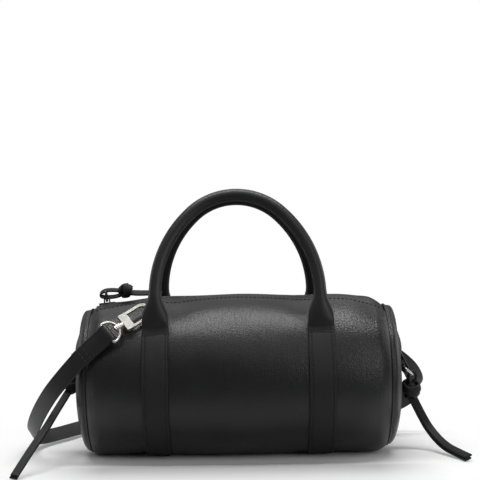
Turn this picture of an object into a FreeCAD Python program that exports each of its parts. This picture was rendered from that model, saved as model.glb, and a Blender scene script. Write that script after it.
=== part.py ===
import FreeCAD
import Part

import math
import os

V = FreeCAD.Vector

# Barrel along X. Its outline eases off along a large lengthwise circle and then rounds down to the
# two end seams along a small shoulder circle.
BARREL_RADIUS = 63.2
LENGTHWISE_RADIUS = 1000.0
SHOULDER_RADIUS = 20.0
SHOULDER_WIDTH = 11.5
SEAM_X = 120.5
DOME_RISE = 8.0
BASE_FLAT = 2.0
LEATHER = 1.8
PIPING_RADIUS = 1.8
STIFFENER = 0.9
LINING = 0.5
# Sewn layers lie this far apart, and pieces that move on one another this far.
SEAM_GAP = 0.05
RUN_GAP = 0.3

# Zip along the crown: two leather strips, two tapes, two coils, one slider.
MOUTH_HALF = 19.0
STRIP_LAP = 6.0
STRIP_THICK = 1.4
ZIP_GAP_HALF = 5.0
TAPE_THICK = 0.6
TAPE_WIDTH = 13.4
COIL_WIDTH = 2.4
COIL_HEIGHT = 1.9
COIL_PITCH = 2.4
COIL_PART = 1.4
ZIP_MARGIN = 12.0
STOP_LENGTH = 1.6
STOP_WIDTH = 6.0
STOP_HEIGHT = 1.55
STOP_PLACE = 2.5
TAPE_OVER = 4.0
SLIDER_LENGTH = 12.0
BAIL_LENGTH = 5.0
BAIL_LEG = 0.9
PLATE_THICK = 1.3
PULL_WIDTH = 7.4
PULL_HEIGHT = 8.4
PULL_THICK = 1.2
SLOT_LOW = 3.3
SLOT_HEIGHT = 2.8
# Lace on the pull, measured from the pull's cross bar and along the crown.
LOOP_LENGTH = 13.0
LOOP_TALL = 6.6
LOOP_LOW = 4.6
ZIP_KNOT_PLACE = 16.5
ZIP_KNOT_HEIGHT = 5.0
ZIP_KNOT_RADIUS = 5.6
ZIP_TAIL_ROUTE = [(20.0, 0.0, 3.6), (28.0, 1.0, 2.8), (36.0, 3.0, 2.2), (44.0, 4.0, 1.8)]

# Bands round the barrel and the rolled handles that start on them.
BAND_X = 62.0
BAND_WIDTH = 20.0
BAND_THICK = 2.0
HANDLE_ANGLE = 38.4
BAND_PAST = 4.0
HANDLE_RADIUS = 4.75
ROLL_WALL = 1.15
HANDLE_RISE = 101.0
HANDLE_TOP_RADIUS = 50.0
HANDLE_LEAN = 12.6
FOOT_HEIGHT = 24.0
FOOT_THICK = 4.0

# Rings, laces and ring tabs of the two ends.
RING_Z = 64.5
RING_DROP = 42.0
RING_RADIUS = 7.6
RING_DEPTH = 8.6
WIRE = 1.0
WIRE_PLAY = 0.1
TAB_WIDTH = 15.0
TAB_THICK = 2.2
LACE_WIDTH = 6.0
LACE_THICK = 1.6
KNOT_RADIUS = 6.5
KNOT_LENGTH = 11.0

# Shoulder strap with its two swivel snap hooks.
STRAP_WIDTH = 14.0
STRAP_THICK = 2.0
FOLD_LENGTH = 28.0
CLIP_X = 96.8
CLIP_ANGLE = 33.0
CLIP_STANDOFF = 9.6
CLIP_AIM_X = 66.5
CLIP_AIM_ANGLE = 54.6
CLIP_AIM_STANDOFF = 6.6
STRAP_FALL = V(-0.746, 0.07, -0.662)
LOOP_RADIUS = 8.6
LOOP_DEPTH = 9.7
BLOCK_START = 14.0
BLOCK_LENGTH = 6.6
BLOCK_HALF = 6.8
BLOCK_THICK = 3.6
BOW_LENGTH = 18.7
BOW_BAR = 2.1
BOW_THICK = 2.6
GATE_THICK = 1.8
GATE_PIN = 0.6

# Cord routes: hand-chosen points and, for the strap, the way its lower edge points there.
STRAP_ROUTE = [
    ((-136.5, -49.8, 60.0), (0.64, -0.37, -0.67)),
    ((-151.5, -34.0, 39.5), (0.62, -0.33, -0.72)),
    ((-162.0, -12.0, 21.5), (0.58, -0.28, -0.77)),
    ((-166.0, 12.0, 11.0), (0.56, -0.26, -0.79)),
    ((-162.0, 36.0, 7.4), (0.54, -0.24, -0.80)),
    ((-150.0, 60.0, 7.2), (0.52, -0.24, -0.82)),
    ((-140.0, 84.0, 7.2), (0.45, -0.25, -0.86)),
    ((-122.0, 108.0, 7.2), (0.25, -0.25, -0.94)),
    ((-90.0, 122.0, 7.3), (0.0, 0.0, -1.0)),
    ((-46.0, 129.0, 7.3), (0.0, 0.0, -1.0)),
    ((2.0, 131.0, 7.3), (0.0, 0.0, -1.0)),
    ((48.0, 129.0, 7.3), (0.0, 0.0, -1.0)),
    ((84.0, 125.0, 7.3), (0.0, 0.0, -1.0)),
    ((110.0, 119.0, 7.3), (0.0, 0.0, -1.0)),
    ((112.0, 97.0, 7.3), (0.0, 0.0, -1.0)),
    ((86.0, 94.0, 7.3), (0.0, 0.0, -1.0)),
    ((46.0, 98.0, 7.3), (0.0, 0.0, -1.0)),
    ((0.0, 100.0, 7.3), (0.0, 0.0, -1.0)),
    ((-44.0, 99.0, 7.3), (0.0, 0.0, -1.0)),
    ((-78.0, 96.5, 7.3), (0.0, 0.0, -1.0)),
    ((-103.0, 93.0, 7.3), (0.0, 0.0, -1.0)),
    ((-105.0, 72.0, 7.3), (0.0, 0.0, -1.0)),
    ((-80.0, 69.5, 7.3), (0.0, 0.0, -1.0)),
    ((-42.0, 71.5, 7.3), (0.0, 0.0, -1.0)),
    ((6.0, 73.0, 7.3), (0.0, 0.0, -1.0)),
    ((52.0, 75.5, 7.8), (0.0, 0.0, -1.0)),
    ((90.0, 79.0, 12.0), (-0.05, 0.05, -1.0)),
    ((120.0, 83.0, 18.5), (-0.15, 0.15, -0.97)),
    ((139.5, 85.0, 25.5), (-0.3, 0.25, -0.92)),
    ((152.0, 79.0, 36.5), (-0.45, 0.3, -0.84)),
    ((152.0, 67.0, 48.0), (-0.56, 0.35, -0.75)),
    ((142.0, 60.0, 64.0), (-0.62, 0.37, -0.69)),
]
LEFT_TAIL_ROUTE = [
    (-137.2, -2.0, 41.7),
    (-135.0, -22.0, 39.5),
    (-134.0, -44.0, 36.5),
    (-139.5, -64.0, 28.5),
    (-148.5, -84.0, 15.5),
    (-157.5, -104.0, 2.4),
]
RIGHT_TAIL_ROUTE = [
    (138.0, -1.0, 41.6),
    (144.8, -1.0, 28.5),
    (151.5, -6.0, 15.0),
    (159.0, -20.0, 5.0),
    (166.0, -36.0, 3.2),
    (172.0, -50.0, 2.4),
]

# Worked out from the values above.
AXIS_Z = BARREL_RADIUS - BASE_FLAT
CROWN_Z = AXIS_Z + BARREL_RADIUS
LENGTHWISE_Z = CROWN_Z - LENGTHWISE_RADIUS
SHOULDER_TURN = math.asin((SEAM_X - SHOULDER_WIDTH) / LENGTHWISE_RADIUS)
ZIP_HALF = SEAM_X - ZIP_MARGIN
PANEL_END = SEAM_X - PIPING_RADIUS - SEAM_GAP
STRIP_TOP = LEATHER + SEAM_GAP
TAPE_TOP = STRIP_TOP + STRIP_THICK + SEAM_GAP
COIL_TOP = TAPE_TOP - COIL_HEIGHT
COIL_INNER = COIL_PART / 2
TAPE_INNER = COIL_INNER + SEAM_GAP
TAPE_END = ZIP_HALF + TAPE_OVER
SLIDER_X = -(ZIP_HALF - SLIDER_LENGTH / 2 + 1.0)
STIFFENER_TOP = LEATHER + SEAM_GAP
LINING_TOP = STIFFENER_TOP + STIFFENER + SEAM_GAP
INNER_MOUTH = MOUTH_HALF + STRIP_LAP + 1.0
PLATE_LOW = -COIL_TOP + RUN_GAP
PULL_AXIS = PLATE_LOW + PLATE_THICK + PULL_THICK
FAR = 400.0
ARC_STEP = math.radians(15)
RUN_SHARE = 0.45


def unit(vector):
    return V(vector) / vector.Length


def box(x_low, x_high, y_low, y_high, z_low, z_high):
    return Part.makeBox(x_high - x_low, y_high - y_low, z_high - z_low, V(x_low, y_low, z_low))


def fused(shapes):
    return shapes[0].multiFuse(shapes[1:]).removeSplitter()


def barrel_radius(x, inset=0.0):
    """Radius of the barrel at x, of the surface that lies inset below the outside."""
    run = abs(x)
    rise = 0.0
    reach = LENGTHWISE_RADIUS - inset
    if run > shoulder_start(inset):
        between = LENGTHWISE_RADIUS - SHOULDER_RADIUS
        run -= between * math.sin(SHOULDER_TURN)
        rise = between * math.cos(SHOULDER_TURN)
        reach = SHOULDER_RADIUS - inset
    return math.sqrt(reach * reach - run * run) + rise - (LENGTHWISE_RADIUS - BARREL_RADIUS)


def shoulder_start(inset):
    """Distance from the middle at which a surface leaves the large circle for the shoulder."""
    return (LENGTHWISE_RADIUS - inset) * math.sin(SHOULDER_TURN)


def barrel_point(x, angle, standoff):
    """Point off the front of the barrel, at an angle above its axis."""
    reach = barrel_radius(x) + standoff
    turn = math.radians(angle)
    return V(x, -reach * math.cos(turn), AXIS_Z + reach * math.sin(turn))


def round_barrel(inset, x_low, x_high):
    """Solid of revolution about the barrel axis, its surface inset below the outside."""
    def at(x, radius):
        return V(x, 0, AXIS_Z + radius)
    join = shoulder_start(inset)
    stops = [x_low] + [x for x in (-join, join) if x_low < x < x_high] + [x_high]
    outline = [Part.makeLine(at(x_low, 0), at(x_low, barrel_radius(x_low, inset)))]
    for start, end in zip(stops, stops[1:]):
        places = [at(x, barrel_radius(x, inset)) for x in (start, (start + end) / 2, end)]
        outline.append(Part.Arc(*places).toShape())
    outline.append(Part.makeLine(at(x_high, barrel_radius(x_high, inset)), at(x_high, 0)))
    outline.append(Part.makeLine(at(x_high, 0), at(x_low, 0)))
    return Part.Face(Part.Wire(outline)).revolve(V(0, 0, AXIS_Z), V(1, 0, 0), 360)


def barrel_solid(inset, half_length):
    """Round barrel that sits flat, with a step up where each band passes under it."""
    body = round_barrel(inset, -half_length, half_length)
    below = [box(-FAR, FAR, -FAR, FAR, -FAR, inset)]
    half = BAND_WIDTH / 2 + RUN_GAP + inset
    for side in (-1, 1):
        centre = side * BAND_X
        top = BAND_THICK + SEAM_GAP + inset
        below.append(box(centre - half, centre + half, -FAR, FAR, -FAR, top))
    for piece in below:
        body = body.cut(piece)
    return body


def barrel_layer(outer, inner, half_length, mouth):
    """One layer of the barrel, open along the crown."""
    layer = barrel_solid(outer, half_length).cut(barrel_solid(inner, half_length + 1))
    return layer.cut(box(-FAR, FAR, -mouth, mouth, AXIS_Z, FAR))


def crown_layer(top, thick, near, far, half_length):
    """Strip along the crown on the front side, between two distances from its middle."""
    ring = round_barrel(top, -half_length, half_length)
    ring = ring.cut(round_barrel(top + thick, -half_length - 1, half_length + 1))
    return ring.common(box(-FAR, FAR, -far, -near, AXIS_Z, FAR))


def turned(shape):
    """The same piece turned half round about the upright through the middle."""
    copy = shape.copy()
    copy.rotate(V(0, 0, 0), V(0, 0, 1), 180)
    return copy


def mirrored(shape, normal):
    return shape.mirror(V(0, 0, 0), normal)


def dome(side):
    """Centre and radius of the ball that an end panel is part of."""
    rim = barrel_radius(SEAM_X)
    radius = (rim * rim + DOME_RISE * DOME_RISE) / (2 * DOME_RISE)
    return V(side * (SEAM_X + DOME_RISE - radius), 0, AXIS_Z), radius


def end_layer(side, outer, inner, rim):
    """Round domed sheet across one end of the barrel."""
    centre, radius = dome(side)
    start = V(side * (PANEL_END - DOME_RISE), 0, AXIS_Z)
    disc = Part.makeCylinder(rim, 4 * DOME_RISE, start, V(side, 0, 0))
    disc = disc.common(Part.makeSphere(radius - outer, centre))
    return disc.cut(Part.makeSphere(radius - inner, centre))


def end_rim():
    return barrel_radius(SEAM_X) - PIPING_RADIUS - SEAM_GAP


def piping(side):
    return Part.makeTorus(barrel_radius(SEAM_X), PIPING_RADIUS, V(side * SEAM_X, 0, AXIS_Z), V(1, 0, 0))


def band(side):
    """Leather band under the bag, open above the two handle feet."""
    low = side * BAND_X - BAND_WIDTH / 2
    high = side * BAND_X + BAND_WIDTH / 2
    outer = round_barrel(-BAND_THICK - SEAM_GAP, low, high)
    outer = outer.cut(box(-FAR, FAR, -FAR, FAR, -FAR, 0))
    inner = round_barrel(-SEAM_GAP, low - 1, high + 1)
    inner = inner.cut(box(-FAR, FAR, -FAR, FAR, -FAR, BAND_THICK))
    turn = math.radians(HANDLE_ANGLE + BAND_PAST)
    rise = FAR * math.sin(turn)
    run = FAR * math.cos(turn)
    corners = [(0, 0), (-run, rise), (-run, FAR), (run, FAR), (run, rise), (0, 0)]
    wedge = Part.makePolygon([V(low - 1, y, AXIS_Z + z) for y, z in corners])
    wedge = Part.Face(wedge).extrude(V(BAND_WIDTH + 2, 0, 0))
    return outer.cut(inner).cut(wedge)


def coil():
    """Front zip coil: a bar along the crown with teeth that point to the middle."""
    rib = crown_layer(TAPE_TOP - COIL_HEIGHT * 0.7, COIL_HEIGHT * 0.7 - SEAM_GAP,
                      COIL_INNER + COIL_WIDTH / 2, COIL_INNER + COIL_WIDTH, ZIP_HALF)
    centre = V(0, 0, LENGTHWISE_Z)
    count = int(2 * ZIP_HALF / COIL_PITCH)
    step = math.degrees(COIL_PITCH / LENGTHWISE_RADIUS)
    teeth = []
    for index in range(count):
        tooth = box(-COIL_PITCH * 0.3, COIL_PITCH * 0.3, -COIL_INNER - COIL_WIDTH * 0.75, -COIL_INNER,
                    CROWN_Z - TAPE_TOP + SEAM_GAP, CROWN_Z - COIL_TOP)
        tooth.rotate(centre, V(0, 1, 0), step * (index - (count - 1) / 2))
        teeth.append(tooth)
    return fused([rib] + teeth)


def zip_stops():
    """Metal stop clamped across both tapes at each end of the coils."""
    stops = []
    for side in (-1, 1):
        low = CROWN_Z - TAPE_TOP + SEAM_GAP
        stop = box(-STOP_LENGTH / 2, STOP_LENGTH / 2, -STOP_WIDTH / 2, STOP_WIDTH / 2, low, low + STOP_HEIGHT)
        turn = side * math.asin((ZIP_HALF + STOP_PLACE) / LENGTHWISE_RADIUS)
        stop.rotate(V(0, 0, LENGTHWISE_Z), V(0, 1, 0), math.degrees(turn))
        stops.append(stop)
    return Part.makeCompound(stops)


def on_crown(shape):
    """Piece drawn over the middle of the crown, moved along the crown to the closed end."""
    turn = math.degrees(math.asin(SLIDER_X / LENGTHWISE_RADIUS))
    shape.rotate(V(0, 0, LENGTHWISE_Z), V(0, 1, 0), turn)
    return shape


def slider():
    """Zip slider: two plates joined by the divider, side flanges and a bail on top."""
    half = SLIDER_LENGTH / 2
    wide = COIL_INNER + COIL_WIDTH + RUN_GAP + 0.8
    tape_low = -TAPE_TOP - TAPE_THICK
    low = tape_low - RUN_GAP - 0.2
    outline = [(-half, wide), (half - 3, wide), (half, wide - 1.2), (half, 1.2 - wide), (half - 3, -wide),
               (-half, -wide), (-half, wide)]
    flat = Part.Face(Part.makePolygon([V(x, y, 0) for x, y in outline]))
    top = flat.extrude(V(0, 0, PLATE_THICK))
    top.translate(V(0, 0, CROWN_Z + PLATE_LOW))
    bottom = flat.extrude(V(0, 0, PLATE_THICK))
    bottom.translate(V(0, 0, CROWN_Z + low - PLATE_THICK))
    divider = box(-half, -half + 3, -COIL_INNER + RUN_GAP, COIL_INNER - RUN_GAP, CROWN_Z + low - 0.5,
                  CROWN_Z + PLATE_LOW + 0.5)
    pieces = [top, bottom, divider]
    for side in (-1, 1):
        inner = side * (wide - 0.8)
        outer = side * wide
        pieces.append(box(-half, half - 3, min(inner, outer), max(inner, outer),
                          CROWN_Z - TAPE_TOP + RUN_GAP, CROWN_Z + PLATE_LOW + 0.5))
    base = CROWN_Z + PLATE_LOW + PLATE_THICK
    reach = BAIL_LENGTH / 2
    bail = box(-reach, reach, -0.9, 0.9, base - 0.3, base + 2 * PULL_THICK + BAIL_LEG)
    bail = bail.makeFillet(BAIL_LEG, [edge for edge in bail.Edges if bail_corner(edge, base)])
    bail = bail.cut(box(BAIL_LEG - reach, reach - BAIL_LEG, -2, 2, base, base + 2 * PULL_THICK))
    return on_crown(fused(pieces + [bail]))


def bail_corner(edge, base):
    """True for the two upper edges of the bail that lie across it."""
    middle = edge.CenterOfMass
    return abs(abs(middle.x) - BAIL_LENGTH / 2) < 0.01 and middle.z > base + 1 and abs(middle.y) < 0.01


def pull_tab():
    """Flat pull: cross bar under the bail, and a window for the bail that opens into the lace's slot."""
    half = PULL_WIDTH / 2
    axis = CROWN_Z + PULL_AXIS
    plate = box(-PULL_THICK / 2, PULL_THICK / 2, -half, half, axis - PULL_THICK / 2, axis + PULL_HEIGHT)
    corners = [edge for edge in plate.Edges if abs(edge.CenterOfMass.x) < 0.01 and edge.Length < 2
               and edge.CenterOfMass.z > axis + 1]
    plate = plate.makeFillet(1.6, corners)
    window = box(-2, 2, -1.5, 1.5, axis + PULL_THICK / 2, axis + BAIL_LENGTH / 2 + 0.9)
    slot = box(-2, 2, -0.35 * PULL_WIDTH, 0.35 * PULL_WIDTH, axis + SLOT_LOW, axis + SLOT_LOW + SLOT_HEIGHT)
    return on_crown(plate.cut(window).cut(slot))


def zip_lace():
    """Lace on the pull: loop through the slot, knot, and a doubled tail along the crown."""
    axis = CROWN_Z + PULL_AXIS
    wide = LACE_WIDTH * 0.75
    outer = stadium((LOOP_TALL + LACE_THICK) / 2, LOOP_LENGTH, wide)
    loop = outer.cut(stadium((LOOP_TALL - LACE_THICK) / 2, LOOP_LENGTH, wide + 1))
    loop.translate(V(-PULL_THICK / 2 - 0.4, 0, axis + LOOP_LOW + LOOP_TALL / 2))
    knot = rounded_knot(ZIP_KNOT_RADIUS, KNOT_LENGTH, V(1, 0, 0))
    knot.translate(V(ZIP_KNOT_PLACE, 0, axis + ZIP_KNOT_HEIGHT))
    route = [V(*point) + V(0, 0, axis) for point in ZIP_TAIL_ROUTE]
    tail = ribbon(route, [V(0, 1, 0)] * len(route), wide, 2 * LACE_THICK)
    return on_crown(fused([loop, knot, tail]))


def stadium(half_height, length, width):
    """Upright flat ring blank: a bar with round ends, lying along X."""
    turn = Part.makeCylinder(half_height, width, V(0, -width / 2, 0), V(0, 1, 0))
    far = Part.makeCylinder(half_height, width, V(length, -width / 2, 0), V(0, 1, 0))
    bar = box(0, length, -width / 2, width / 2, -half_height, half_height)
    return fused([turn, bar, far])


def rounded_knot(radius, length, axis):
    """Knot as a round lump along an axis, centred on the origin."""
    lump = Part.makeCylinder(radius, length, V(axis) * (-length / 2), axis)
    return lump.makeFillet(radius * 0.45, [edge for edge in lump.Edges if edge.isClosed()])


def hinge_line():
    """Point of the front handle's foot line, where it turns clear of the band's fuller edge."""
    standoff = BAND_THICK + SEAM_GAP + RUN_GAP + FOOT_THICK / 2
    return barrel_point(BAND_X - BAND_WIDTH / 2, HANDLE_ANGLE, standoff)


def handle_arch():
    """Middle line of the roll in its own plane: side arc, top arc, side arc."""
    rise = HANDLE_RISE - FOOT_HEIGHT
    below = rise - HANDLE_TOP_RADIUS
    spread = BAND_X
    side_radius = (spread ** 2 + below ** 2 - HANDLE_TOP_RADIUS ** 2) / (2 * (spread - HANDLE_TOP_RADIUS))
    centre = V(spread - side_radius, 0, FOOT_HEIGHT)
    top_centre = V(0, 0, FOOT_HEIGHT + below)
    join = top_centre + unit(top_centre - centre) * HANDLE_TOP_RADIUS
    start = V(spread, 0, FOOT_HEIGHT)
    middle = centre + unit(unit(start - centre) + unit(join - centre)) * side_radius
    crown = V(0, 0, HANDLE_RISE)
    edges = [Part.Arc(start, middle, join).toShape(),
             Part.Arc(join, crown, V(-join.x, 0, join.z)).toShape(),
             Part.Arc(V(-join.x, 0, join.z), V(-middle.x, 0, middle.z), V(-start.x, 0, start.z)).toShape()]
    return Part.Wire(edges)


def handle_roll(radius):
    profile = Part.Wire([Part.Circle(V(BAND_X, 0, FOOT_HEIGHT), V(0, 0, 1), radius).toShape()])
    return handle_arch().makePipeShell([profile], True, False)


def handle_foot():
    """Flared foot: flat where it is sewn on, round where the roll starts."""
    half = BAND_WIDTH / 2
    thin = FOOT_THICK / 2
    stages = [(0.0, half * 0.9, thin), (0.35, half * 0.66, thin * 1.6), (0.7, half * 0.53, thin * 2.1)]
    wires = []
    for share, wide, deep in stages:
        ellipse = Part.Ellipse(V(0, 0, share * FOOT_HEIGHT), wide, deep)
        wires.append(Part.Wire([ellipse.toShape()]))
    top = Part.Circle(V(0, 0, FOOT_HEIGHT), V(0, 0, 1), HANDLE_RADIUS)
    wires.append(Part.Wire([top.toShape()]))
    flare = Part.makeLoft(wires, True, False)
    bead = Part.makeCylinder(thin, BAND_WIDTH * 0.7, V(-BAND_WIDTH * 0.35, 0, 0), V(1, 0, 0))
    return flare.fuse(bead).removeSplitter()


def stood(shape):
    """Handle piece drawn in its own plane, leant and set on the front foot line."""
    shape.rotate(V(0, 0, 0), V(1, 0, 0), -HANDLE_LEAN)
    line = hinge_line()
    shape.translate(V(0, line.y, line.z))
    return shape


def handle_pieces():
    cover = handle_roll(HANDLE_RADIUS).cut(handle_roll(HANDLE_RADIUS - ROLL_WALL))
    core = handle_roll(HANDLE_RADIUS - ROLL_WALL - SEAM_GAP)
    feet = []
    for side in (-1, 1):
        foot = handle_foot()
        foot.translate(V(side * BAND_X, 0, 0))
        feet.append(foot)
    return stood(cover), stood(core), stood(Part.makeCompound(feet))


def tube_chain(edges, radius):
    """Round bar along edges that run on tangent to one another."""
    pieces = []
    for edge in edges:
        start = edge.valueAt(edge.FirstParameter)
        along = edge.tangentAt(edge.FirstParameter)
        profile = Part.Wire([Part.Circle(start, along, radius).toShape()])
        pieces.append(Part.Wire([edge]).makePipeShell([profile], True, False))
    return fused(pieces)


def d_ring(radius, depth, wire):
    """D-shaped ring in the XY plane: bar along Y through the origin, bow towards +X."""
    corner = wire * 1.3
    centre = depth - radius
    reach = radius - corner
    rise = math.sqrt(reach ** 2 - (corner - centre) ** 2)
    out = unit(V(corner - centre, rise, 0))
    touch = V(centre, 0, 0) + out * radius
    bend = V(corner, rise, 0)
    bend_middle = bend + unit(V(-1, 0, 0) + out) * corner
    low = V(touch.x, -touch.y, 0)
    edges = [
        Part.makeLine(V(0, -rise, 0), V(0, rise, 0)),
        Part.Arc(V(0, rise, 0), bend_middle, touch).toShape(),
        Part.Arc(touch, V(depth, 0, 0), low).toShape(),
        Part.Arc(low, V(bend_middle.x, -bend_middle.y, 0), V(0, -rise, 0)).toShape(),
    ]
    return tube_chain(edges, wire)


def ring_axis(side):
    """Middle of an end ring's bar, held by the tab on the dome."""
    centre, radius = dome(side)
    drop = RING_Z - AXIS_Z
    surface = centre.x + side * math.sqrt(radius ** 2 - drop ** 2)
    return V(surface + side * (SEAM_GAP + TAB_THICK / 2 + WIRE + 0.6), 0, RING_Z)


def ring_tab(side):
    """Leather tab on the dome, sewn in above and wrapped round the ring's bar below."""
    centre, radius = dome(side)
    half = TAB_WIDTH / 2
    axis = ring_axis(side)
    strip = Part.makeSphere(radius + SEAM_GAP + TAB_THICK, centre)
    strip = strip.cut(Part.makeSphere(radius + SEAM_GAP, centre))
    low = min(side * SEAM_X, side * FAR)
    high = max(side * SEAM_X, side * FAR)
    top = AXIS_Z + math.sqrt((end_rim() - SEAM_GAP) ** 2 - half ** 2)
    strip = strip.common(box(low, high, -half, half, RING_Z, top))
    reach = abs(axis.x - centre.x) - radius - SEAM_GAP
    wrap = Part.makeCylinder(reach, TAB_WIDTH * 0.7, V(axis.x, -TAB_WIDTH * 0.35, axis.z), V(0, 1, 0))
    bore = Part.makeCylinder(WIRE + WIRE_PLAY, TAB_WIDTH + 2, V(axis.x, -half - 1, axis.z), V(0, 1, 0))
    return strip.fuse(wrap).cut(bore).removeSplitter()


def ring_set(shape, side):
    """Piece drawn about a ring lying flat with its bow to +X, hung on the end of the bag."""
    shape.rotate(V(0, 0, 0), V(0, 1, 0), RING_DROP)
    if side < 0:
        shape = shape.mirror(V(0, 0, 0), V(1, 0, 0))
    shape.translate(ring_axis(side))
    return shape


def end_ring(side):
    return ring_set(d_ring(RING_RADIUS, RING_DEPTH, WIRE), side)


def lace_knot(side):
    """Lace loop round the bow of an end ring, and the knot that hangs from it."""
    turn = math.radians(RING_DROP)
    bow = ring_axis(side) + V(side * RING_DEPTH * math.cos(turn), 0, -RING_DEPTH * math.sin(turn))
    width = LACE_WIDTH * 0.9
    clear = WIRE + 4 * WIRE_PLAY + RING_RADIUS - math.sqrt(RING_RADIUS ** 2 - width ** 2 / 4)
    eye = Part.makeCylinder(clear + LACE_THICK, width, V(bow.x, -width / 2, bow.z), V(0, 1, 0))
    hole = Part.makeCylinder(clear, width + 2, V(bow.x, -width / 2 - 1, bow.z), V(0, 1, 0))
    knot_top = bow.z - clear - LACE_THICK - 0.5
    neck = box(bow.x - LACE_THICK, bow.x + LACE_THICK, -width / 2, width / 2, knot_top - 2,
               bow.z - clear - LACE_THICK / 2)
    knot = rounded_knot(KNOT_RADIUS, KNOT_LENGTH, V(0, 0, 1))
    knot.translate(V(bow.x, 0, knot_top - KNOT_LENGTH / 2))
    return fused([eye.cut(hole), neck, knot])


def route_stations(points, edges):
    """Stations along a cord's route: its runs joined by tangent arcs, with the edge direction."""
    stations = [(points[0], unit(points[1] - points[0]), edges[0])]
    radii = []
    for before, corner, after, edge in zip(points, points[1:], points[2:], edges[1:]):
        arrive = unit(corner - before)
        leave = unit(after - corner)
        turn = arrive.getAngle(leave)
        setback = RUN_SHARE * min((corner - before).Length, (after - corner).Length)
        radius = setback / math.tan(turn / 2)
        radii.append(radius)
        inward = unit(leave - arrive * arrive.dot(leave))
        centre = corner - arrive * setback + inward * radius
        steps = max(2, math.ceil(turn / ARC_STEP))
        for index in range(steps + 1):
            angle = turn * index / steps
            along = arrive * math.cos(angle) + inward * math.sin(angle)
            place = centre - inward * (radius * math.cos(angle)) + arrive * (radius * math.sin(angle))
            stations.append((place, along, edge))
    stations.append((points[-1], unit(points[-1] - points[-2]), edges[-1]))
    return stations, radii


def ribbon(points, edges, width, thick):
    """Flat strap along a route of hand-chosen points."""
    stations, radii = route_stations(points, edges)
    wires = []
    length = 0.0
    for index, (place, along, edge) in enumerate(stations):
        across = unit(edge - along * along.dot(edge)) * (width / 2)
        through = unit(along.cross(across)) * (thick / 2)
        corners = [place + across + through, place - across + through, place - across - through,
                   place + across - through]
        wires.append(Part.makePolygon(corners + corners[:1]))
        if index:
            length += (place - stations[index - 1][0]).Length
    strap = Part.makeLoft(wires, True, True)
    share = strap.Volume / (width * thick * length)
    print("cord", round(length, 1), "mm, volume share", round(share, 3), "least radius", round(min(radii), 1))
    return strap


def lace_tails(route, edge):
    """The two tails of an end lace, lying one on the other from the knot to the floor."""
    points = [V(*point) for point in route]
    return ribbon(points, [edge] * len(points), LACE_WIDTH, 2 * LACE_THICK)


def clip_frame():
    """Bar middle of the front clip and its three directions: along the hook, along the bar, inward."""
    bar = barrel_point(-CLIP_X, CLIP_ANGLE, CLIP_STANDOFF)
    along = unit(barrel_point(-CLIP_AIM_X, CLIP_AIM_ANGLE, CLIP_AIM_STANDOFF) - bar)
    fall = unit(STRAP_FALL)
    across = unit(fall.cross(along))
    return bar, along, across, unit(along.cross(across)), fall


def placed(shape, origin, x_way, y_way, z_way):
    """Piece drawn in its own frame, set at an origin with its axes along three directions."""
    matrix = FreeCAD.Matrix(x_way.x, y_way.x, z_way.x, origin.x, x_way.y, y_way.y, z_way.y, origin.y,
                            x_way.z, y_way.z, z_way.z, origin.z, 0, 0, 0, 1)
    shape.Placement = FreeCAD.Placement(matrix).multiply(shape.Placement)
    return shape


def clipped(shape):
    """Clip piece, drawn with its bar along Y at the origin, set on the front of the bag."""
    bar, along, across, inward, fall = clip_frame()
    return placed(shape, bar, along, across, inward)


def strap_loop():
    """D-shaped swivel loop with the boss that the rivet turns in."""
    ring = d_ring(LOOP_RADIUS, LOOP_DEPTH, WIRE)
    boss = Part.makeCylinder(2.3, 3.8, V(LOOP_DEPTH - 1.9, 0, 0), V(1, 0, 0))
    bore = Part.makeCylinder(1.25, 6.0, V(LOOP_DEPTH - 3, 0, 0), V(1, 0, 0))
    return clipped(ring.fuse(boss).cut(bore).removeSplitter())


def hook_rivet():
    """Rivet: head inside the loop, shank through its boss, shoulder against the block."""
    boss_low = LOOP_DEPTH - 1.9
    boss_high = LOOP_DEPTH + 1.9
    head = Part.makeCylinder(2.0, 1.0, V(boss_low - 0.1 - 1.0, 0, 0), V(1, 0, 0))
    shank = Part.makeCylinder(1.15, BLOCK_START - boss_low + 0.1, V(boss_low - 0.1, 0, 0), V(1, 0, 0))
    shoulder = Part.makeCylinder(1.8, BLOCK_START - boss_high - 0.1, V(boss_high + 0.1, 0, 0), V(1, 0, 0))
    return clipped(fused([head, shank, shoulder]))


def gate_pivot():
    """Place of the gate pin in the clip's own frame."""
    return V(BLOCK_START + 2.8, BLOCK_HALF - 1.7, 0)


def hook_body():
    """Block and bow in one casting, with a slot and a pin hole for the gate."""
    end = BLOCK_START + BLOCK_LENGTH
    half = BLOCK_THICK / 2
    block = box(BLOCK_START, end, -BLOCK_HALF, BLOCK_HALF, -half, half)
    corners = [edge for edge in block.Edges if abs(edge.CenterOfMass.z) < 0.01]
    block = block.makeFillet(0.8, corners)
    bow_centre = end + BOW_LENGTH - BLOCK_HALF
    thin = BOW_THICK / 2
    inner = BLOCK_HALF - BOW_BAR
    bow = Part.makeCylinder(BLOCK_HALF, BOW_THICK, V(bow_centre, 0, -thin), V(0, 0, 1))
    bow = bow.cut(Part.makeCylinder(inner, BOW_THICK, V(bow_centre, 0, -thin), V(0, 0, 1)))
    bow = bow.common(box(bow_centre, bow_centre + FAR, -FAR, FAR, -FAR, FAR))
    shank = box(end - 1, bow_centre, -BLOCK_HALF, -inner, -thin, thin)
    nose = box(bow_centre - 1.2, bow_centre, inner, BLOCK_HALF, -thin, thin)
    pivot = gate_pivot()
    reach = GATE_THICK / 2 + 0.2
    slot = box(pivot.x - 2.1, end + 1, pivot.y - 3.2, BLOCK_HALF + 1, -reach, reach)
    hole = Part.makeCylinder(GATE_PIN, BLOCK_THICK + 2, V(pivot.x, pivot.y, -half - 1), V(0, 0, 1))
    return clipped(fused([block, bow, shank, nose]).cut(slot).cut(hole))


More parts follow.
